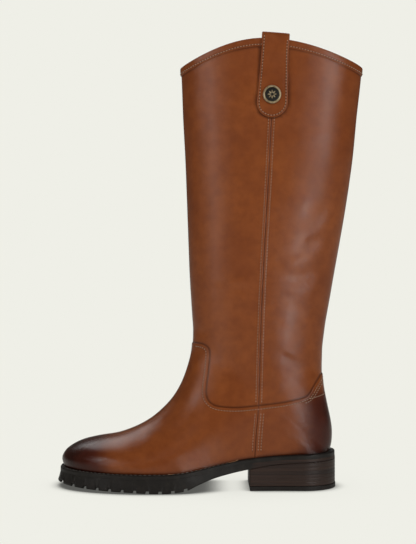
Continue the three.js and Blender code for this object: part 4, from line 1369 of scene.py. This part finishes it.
def strap_stitches():
    """A row up each edge of a strap to where its fold begins, joined round its lower end."""
    rows = []
    path = strap_path()
    radius = STRAP_WIDE / 2 - STRAP_EDGE
    bend_z = STRAP_LOW_Z + STRAP_WIDE / 2
    bend_end = bend_z - radius * math.cos(math.radians(STRAP_BEND_END))
    edges = slice(int(np.argmax(path[:, 0] > bend_end)), STRAP_SEWN_ROWS)
    share = 1 - STRAP_EDGE / np.maximum(path[:, 2], 4)
    angles = np.radians(np.arange(-60, 61, 6))
    bend_x = seam_x(STRAP_LOW_Z) + 0.3 + radius * np.sin(angles)
    for side in (OUTER, INNER):
        left, normal = strap_surface(side, -share, STRAP_THICK / 2 - STRAP_SUNK)
        right, _ = strap_surface(side, share, STRAP_THICK / 2 - STRAP_SUNK)
        foot, bend_normal = surface(bend_x, bend_z - radius * np.cos(angles), side)
        bend = foot + bend_normal * (GAP + STRAP_THICK - STRAP_SUNK)
        line = np.vstack([left[edges][::-1], bend, right[edges]])
        normals = np.vstack([normal[edges][::-1], bend_normal, normal[edges]])
        rows.append((line, normals, *STITCHES["strap"]))
    add_stitches("strap_stitches", rows, TAN_THREAD, "leather")


strap("strap_outer", OUTER, "pull_strap_outer")
strap("strap_inner", INNER, "pull_strap_inner")
strap_stitches()

# ---------- button

BUTTON_RADIUS = 8.7
BUTTON_TALL = 3.2
BUTTON_Z = 373.5
BUTTON_FORWARD = 0.8
BUTTON_SIDES = 64


def button_frame():
    x = np.array([float(seam_x(BUTTON_Z)) - BUTTON_FORWARD])
    foot, normal = surface(x, np.array([BUTTON_Z]), OUTER)
    out = normal[0]
    seat = foot[0] + out * (2 * GAP + STRAP_THICK)
    right = np.cross(np.array([0, 0, 1.0]), out)
    right /= np.linalg.norm(right)
    return seat, right, np.cross(out, right), out


def turned(profile):
    """Loops of a turned form on the button's own axis, from rows of radius and height."""
    seat, right, up, out = button_frame()
    angles = 2 * math.pi * np.arange(BUTTON_SIDES)[:, None] / BUTTON_SIDES
    round_axis = np.cos(angles) * right + np.sin(angles) * up
    return [seat + out * height + radius * round_axis for radius, height in profile]


def button():
    """A domed ring, the dark face in its seat and the motif on the face."""
    rim = BUTTON_RADIUS
    inner = rim - 1.9
    ring = [
        (rim - 0.7, 0), (rim - 0.2, 0.3), (rim, 0.9), (rim - 0.05, 1.8), (rim - 0.35, 2.6),
        (rim - 0.8, 3.1), (rim - 1.25, BUTTON_TALL), (inner + 0.25, 3.0), (inner, 2.6),
        (inner - 0.05, 1.4), (0.5, 1.3),
    ]
    solid("button_ring", turned(ring), BRASS, "brass", ["button_rim"])
    face = [
        (inner - 0.3, 1.45), (inner - 0.25, 2.0), (inner - 0.8, 2.25), (inner - 1.6, 2.3),
        (3, 2.42), (1, 2.48), (0.2, 2.5),
    ]
    solid("button_enamel", turned(face), ENAMEL, "enamel", ["button_face"])
    motif()


PETALS = 8
PETAL_SIDES = 8
PETAL_START = 1.1
PETAL_LONG = 3.1
PETAL_SEAT = 2.3


def motif():
    """A plain rosette in low relief on the button's face."""
    seat, right, up, out = button_frame()
    turns = 2 * math.pi * np.arange(PETAL_SIDES)[:, None] / PETAL_SIDES
    parts = []
    for k in range(PETALS):
        angle = 2 * math.pi * k / PETALS
        radial = math.cos(angle) * right + math.sin(angle) * up
        across = np.cross(out, radial)
        loops = []
        for share in np.linspace(0, 1, 7):
            swell = math.sin(math.pi * share)
            wide = 0.14 + 0.5 * swell ** 0.8
            tall = 0.12 + 0.22 * swell
            centre = seat + out * PETAL_SEAT + radial * (PETAL_START + PETAL_LONG * share)
            loops.append(centre + across * wide * np.cos(turns) + out * tall * (1 + np.sin(turns)))
        parts.append(loops_mesh(loops))
    points, faces = joined(parts)
    new_object("button_rosette", points, faces, BRASS, "brass")


button()

# ---------- sole

LUG_PITCH = 11.9
LUG_GAP = 3.0
LUG_DEPTH = 2.4
LUG_FIRST_X = -221.3
LUG_COUNT = 11
LUG_LENGTH = 15
GROOVE_SLOPE = 0.3
CHANNEL_FIRST_X = -213
CHANNEL_LAST_X = -107
EDGE_ROUND = 0.9
SOLE_TIP = -227.3
SOLE_BACK = 41.4
SOLE_BACK_SLANT = 0.3
TOE_BEVEL = 2.0
TOE_BEVEL_X = -126
TOE_BEVEL_WIDE = 12
# Ways in from the sole's edge, close together at the rounded edge and at the channel's two sides.
SOLE_INSETS = [0, 0.15, 0.45, 0.9, 3, 6, 9, 12, 14.7, 15, 16.5, 18, 18.3, 22, 30]
WALL_SHARES = [0.03, 0.3, 0.6, 0.85, 0.985, 1]


def sole_rim(x):
    return ledge_at(x) + sole_flare(x)


def tread_relief(x, inset):
    """Depth of the tread: grooves right across it and a channel in from each edge."""
    along = (x - LUG_FIRST_X) / LUG_PITCH
    number = np.round(along)
    from_groove = np.abs(along - number) * LUG_PITCH - LUG_GAP / 2
    groove = clamped(1 - from_groove / GROOVE_SLOPE) * (number >= 0) * (number < LUG_COUNT)
    from_channel = np.abs(inset - LUG_LENGTH - LUG_GAP / 2) - LUG_GAP / 2
    inside = (x > CHANNEL_FIRST_X) & (x < CHANNEL_LAST_X)
    channel = clamped(1 - from_channel / GROOVE_SLOPE) * inside
    return LUG_DEPTH * np.maximum(groove, channel)


def toe_bevel(x, inset):
    """How far the worn edge of the tread curves up round the toe."""
    return TOE_BEVEL * ramp(x, TOE_BEVEL_X, -45) * clamped(1 - inset / TOE_BEVEL_WIDE) ** 2


def sole_stations():
    """x of the sole's cross lines, close together at the ends and at every groove's sides."""
    tip = SOLE_TIP + 30 * np.linspace(0.02, 1, 30) ** 2
    back = SOLE_BACK - 24 * np.linspace(0.02, 1, 22) ** 2
    plain = np.arange(SOLE_TIP + 30, SOLE_BACK - 24, 3.0)
    grooves = []
    for k in range(LUG_COUNT):
        middle = LUG_FIRST_X + k * LUG_PITCH
        for reach in (LUG_GAP / 2, LUG_GAP / 2 + GROOVE_SLOPE):
            grooves += [middle - reach, middle + reach]
    return np.unique(np.round(np.concatenate([tip, back, plain, grooves]), 2))


def edge_y(x, side, reach):
    """y of the feather line moved outwards, at given x."""
    px, py = plan_offset(np.linspace(0, 1, 2400), side, reach)
    order = np.argsort(px)
    return np.interp(x, px[order], py[order])


def outsole():
    """One rubber block: slanted toe face, rounded lower edge, lugs and a smooth waist."""
    xs = sole_stations()
    tread = tread_z(xs)
    slant = clamped((xs - SOLE_TIP) / (TOE_TIP - ledge_at(xs[0]) - SOLE_TIP))
    slant = np.minimum(slant, clamped((SOLE_BACK - xs) / SOLE_BACK_SLANT))
    top = tread + EDGE_ROUND + (feather_z(xs) - WELT_THICK - 0.05 - tread - EDGE_ROUND) * slant
    rim = {side: edge_y(xs, side, sole_rim) for side in (OUTER, INNER)}
    shoulder = {side: edge_y(xs, side, ledge_at) for side in (OUTER, INNER)}
    middle = (rim[OUTER] + rim[INNER]) / 2
    room = np.maximum(np.abs(rim[INNER] - rim[OUTER]) / 2, 0.01)
    ring = []
    for side in (OUTER, INNER):
        under = []
        for inset in SOLE_INSETS:
            share = np.minimum(inset / room, 1)
            y = rim[side] + (middle - rim[side]) * share
            rounding = EDGE_ROUND * (1 - quarter_round(inset, EDGE_ROUND))
            z = tread + rounding + tread_relief(xs, np.minimum(inset, room)) + toe_bevel(xs, inset)
            under.append(np.stack([xs, y, np.minimum(z, top)], -1))
        wall = []
        low = np.minimum(tread + EDGE_ROUND + tread_relief(xs, 0) + toe_bevel(xs, 0), top)
        for share in WALL_SHARES:
            y = rim[side] + (shoulder[side] - rim[side]) * share
            wall.append(np.stack([xs, y, low + (top - low) * share], -1))
        ring += (under[::-1] + wall) if side == OUTER else (wall[::-1] + under)
    stacked = np.repeat(ramp(xs, HEEL_FRONT + 1, 5), len(ring))
    solid("outsole_lugged", np.stack(ring, 1), RUBBER, "rubber", ["outsole"], stacked=stacked)


outsole()


def around(steps):
    """Shares and sides all round the sole, outer side from toe to heel and back along the inner."""
    t = np.linspace(0, 1, steps, endpoint=False)
    return np.concatenate([t, 1 - t]), np.concatenate([np.full(steps, OUTER), np.full(steps, INNER)])


WELT_STITCH_END = -60
WELT_STEPS = 260


def welt():
    """Black strip with a rounded rim and a shallow stitched channel on its ledge."""
    def out(distance):
        return lambda x: ledge_at(x) + distance

    def part(share):
        return lambda x: ledge_at(x) * share

    # Distance out from the feather line, and height from it.
    profile = [
        (-WALL - GAP, -WELT_THICK), (out(-0.05), -WELT_THICK), (out(0), -WELT_THICK + 0.05),
        (out(0), -WELT_THICK + 0.2), (out(0), -1.8), (out(0), -1.5), (out(-0.15), -0.7),
        (out(-0.5), -0.2), (out(-1.0), 0), (part(0.62), -0.05), (part(0.5), -0.4),
        (part(0.38), -0.05), (part(0.15), 0.1), (-WALL, 0.1),
    ]
    t, side = around(WELT_STEPS)
    loops = []
    for reach, rise in profile:
        x, y = plan_offset(t, side, reach)
        loops.append(np.stack([x, y, feather_z(x) + rise], -1))
    solid("welt_strip", np.stack(loops, 1), RUBBER, "rubber", ["welt"], closed=True)
    t, side = around(700)
    x, y = plan_offset(t, side, part(0.5))
    line = np.stack([x, y, feather_z(x) - 0.18], -1)
    keep = x < WELT_STITCH_END
    # Rolled so that what is kept runs from the inner waist round the toe to the outer waist.
    line = np.roll(line, -np.argmax(~keep), axis=0)
    line = line[line[:, 0] < WELT_STITCH_END]
    upwards = np.tile([0, 0, 1.0], (len(line), 1))
    add_stitches("welt_stitches", [(line, upwards, *STITCHES["welt"])], WELT_THREAD, "rubber")


welt()

# ---------- heel

STACK_LAYER = 3.35
HEEL_STEPS = 90
HEEL_ROUND = 0.5
LIFT_PROUD = 0.4
LAYER_GROOVE = 0.16
STACK_ROWS = [0, 0.008, 0.02, *np.linspace(0.04, 0.96, 60), 0.98, 0.992, 1]
LIFT_ROWS = [0, 0.04, 0.1, 0.2, 0.5, 0.8, 0.9, 0.96, 1]


def heel_block(name, low, high, rows, extra, groove, material, slot, node):
    """A heel-shaped block with rounded edges whose side may carry the lines of its layers."""
    front_share = (HEEL_FRONT - FEATHER["x"][0]) / (HEEL_CENTRE - FEATHER["x"][0])
    first_t = TOE_SHARE + front_share * (1 - TOE_SHARE - HEEL_SHARE)
    t = np.linspace(first_t, 1, HEEL_STEPS)
    t = np.concatenate([t, t[::-1][1:]])
    side = np.where(np.arange(len(t)) < HEEL_STEPS, OUTER, INNER)
    loops = []
    for share in rows:
        def reach(x, share=share):
            bottom, top = low(x), high(x)
            z = bottom + (top - bottom) * share
            edge = np.minimum(share, 1 - share) * (top - bottom)
            rounding = HEEL_ROUND * (1 - quarter_round(edge, HEEL_ROUND))
            layers = groove * np.abs(np.sin(math.pi * z / STACK_LAYER)) ** 18
            return sole_rim(x) + extra - rounding - layers

        x, y = plan_offset(t, side, reach)
        z = low(x) + (high(x) - low(x)) * share
        loops.append(np.stack([x, y, z], -1))
    solid(name, loops, material, slot, [node])


def level(height):
    return lambda x: np.full_like(x, height)


def under_sole(x):
    return tread_z(x) - 0.05


def heel():
    heel_block("heel_layers", level(LIFT_THICK + 0.1), under_sole, STACK_ROWS, 0, LAYER_GROOVE,
               STACK, "stack", "heel_stack")
    heel_block("heel_top_piece", level(0), level(LIFT_THICK), LIFT_ROWS, LIFT_PROUD, 0,
               LIFT_RUBBER, "rubber", "heel_lift")


heel()

# ---------- insole

INSOLE_RISE = 1.6
INSOLE_HOLLOW = 0.6
INSOLE_SOFT = 0.9
INSOLE_STEPS = (40, 50, 30)


def insole():
    """The sock: a soft-edged plate, hollowed a little along its middle."""
    toe_steps, waist_steps, heel_steps = INSOLE_STEPS
    toe = np.linspace(0, TOE_SHARE, toe_steps, endpoint=False)
    waist = np.linspace(TOE_SHARE, 1 - HEEL_SHARE, waist_steps, endpoint=False)
    back = np.linspace(1 - HEEL_SHARE, 1, heel_steps)
    t = np.concatenate([toe, waist, back])[1:-1]
    reach = -WALL - 3 * GAP
    ax, ay = plan_offset(t, OUTER, reach)
    bx, by = plan_offset(t, INNER, reach)
    ring = []
    for share in np.linspace(0, 1, 13):
        x, y = ax + (bx - ax) * share, ay + (by - ay) * share
        from_middle = abs(2 * share - 1)
        rise = INSOLE_RISE - INSOLE_HOLLOW * (1 - from_middle ** 2) - INSOLE_SOFT * (from_middle > 0.99)
        ring.append(np.stack([x, y, feather_z(x) + rise], -1))
    for x, y in ((bx, by), (ax, ay)):
        ring.append(np.stack([x, y, feather_z(x) - WELT_THICK + GAP], -1))
    solid("sock", np.stack(ring, 1), LINING, "board", ["insole"])


insole()

# ---------- stage and light


def floor():
    """A wide sheet of paper, a hair under the sole."""
    size = 30.0
    mesh = bpy.data.meshes.new("floor")
    corners = [(-size, -size, 0), (size, -size, 0), (size, size, 0), (-size, size, 0)]
    mesh.from_pydata(corners, [], [(0, 1, 2, 3)])
    mesh.materials.append(floor_material())
    made = bpy.data.objects.new("floor", mesh)
    bpy.context.scene.collection.objects.link(made)
    made.location = (0, 0, -0.0002)


def world():
    """An even pale backdrop."""
    made = bpy.data.worlds.new("studio")
    made.use_nodes = True
    tree = made.node_tree
    background = tree.nodes["Background"]
    background.inputs["Color"].default_value = PAPER
    seen = tree.nodes.new("ShaderNodeLightPath").outputs["Is Camera Ray"]
    strength = tree.nodes.new("ShaderNodeMapRange")
    strength.inputs["To Min"].default_value = BACKDROP_GLOW
    strength.inputs["To Max"].default_value = 1.0
    tree.links.new(seen, strength.inputs["Value"])
    tree.links.new(strength.outputs[0], background.inputs["Strength"])
    bpy.context.scene.world = made


BOOT_MIDDLE = (CAMERA_X * MM, 0, 0.22)
# Rectangular soft lights: place and aim in metres, size, power, and whether the boot mirrors them.
SOFTBOX_NAMES = ("name", "place", "aim", "width", "height", "power", "mirrored")
SOFTBOXES = [
    ("left_box", (-1.10, -1.17, 0.55), BOOT_MIDDLE, 0.2, 0.95, 2.4, True),
    ("right_box", (1.01, -1.09, 0.69), BOOT_MIDDLE, 0.13, 0.76, 4.4, True),
    ("low_box", (0.78, -1.24, 0.07), (0, 0, 0.07), 0.12, 0.12, 2.1, True),
    ("toe_box", (-1.02, -0.69, 0.78), (-0.18, -0.03, 0.03), 0.14, 0.14, 1.1, True),
    ("top_box", (-0.25, 0.95, 1.3), BOOT_MIDDLE, 1.6, 1.0, 10, True),
    ("key_box", (-0.1, -1.95, 1.3), BOOT_MIDDLE, 1.0, 0.8, 14.5, False),
]


def softbox(box):
    data = bpy.data.lights.new(box["name"], "AREA")
    data.shape = "RECTANGLE"
    data.size, data.size_y = box["width"], box["height"]
    data.energy = box["power"]
    made = bpy.data.objects.new(box["name"], data)
    bpy.context.scene.collection.objects.link(made)
    made.visible_glossy = box["mirrored"]
    made.location = box["place"]
    made.rotation_euler = (Vector(box["aim"]) - made.location).to_track_quat("-Z", "Y").to_euler()


floor()
world()
for row in SOFTBOXES:
    softbox(dict(zip(SOFTBOX_NAMES, row)))

scene = bpy.context.scene
scene.view_settings.view_transform = "Standard"
scene.view_settings.look = "None"
scene.view_settings.exposure = 0
scene.view_settings.gamma = 1
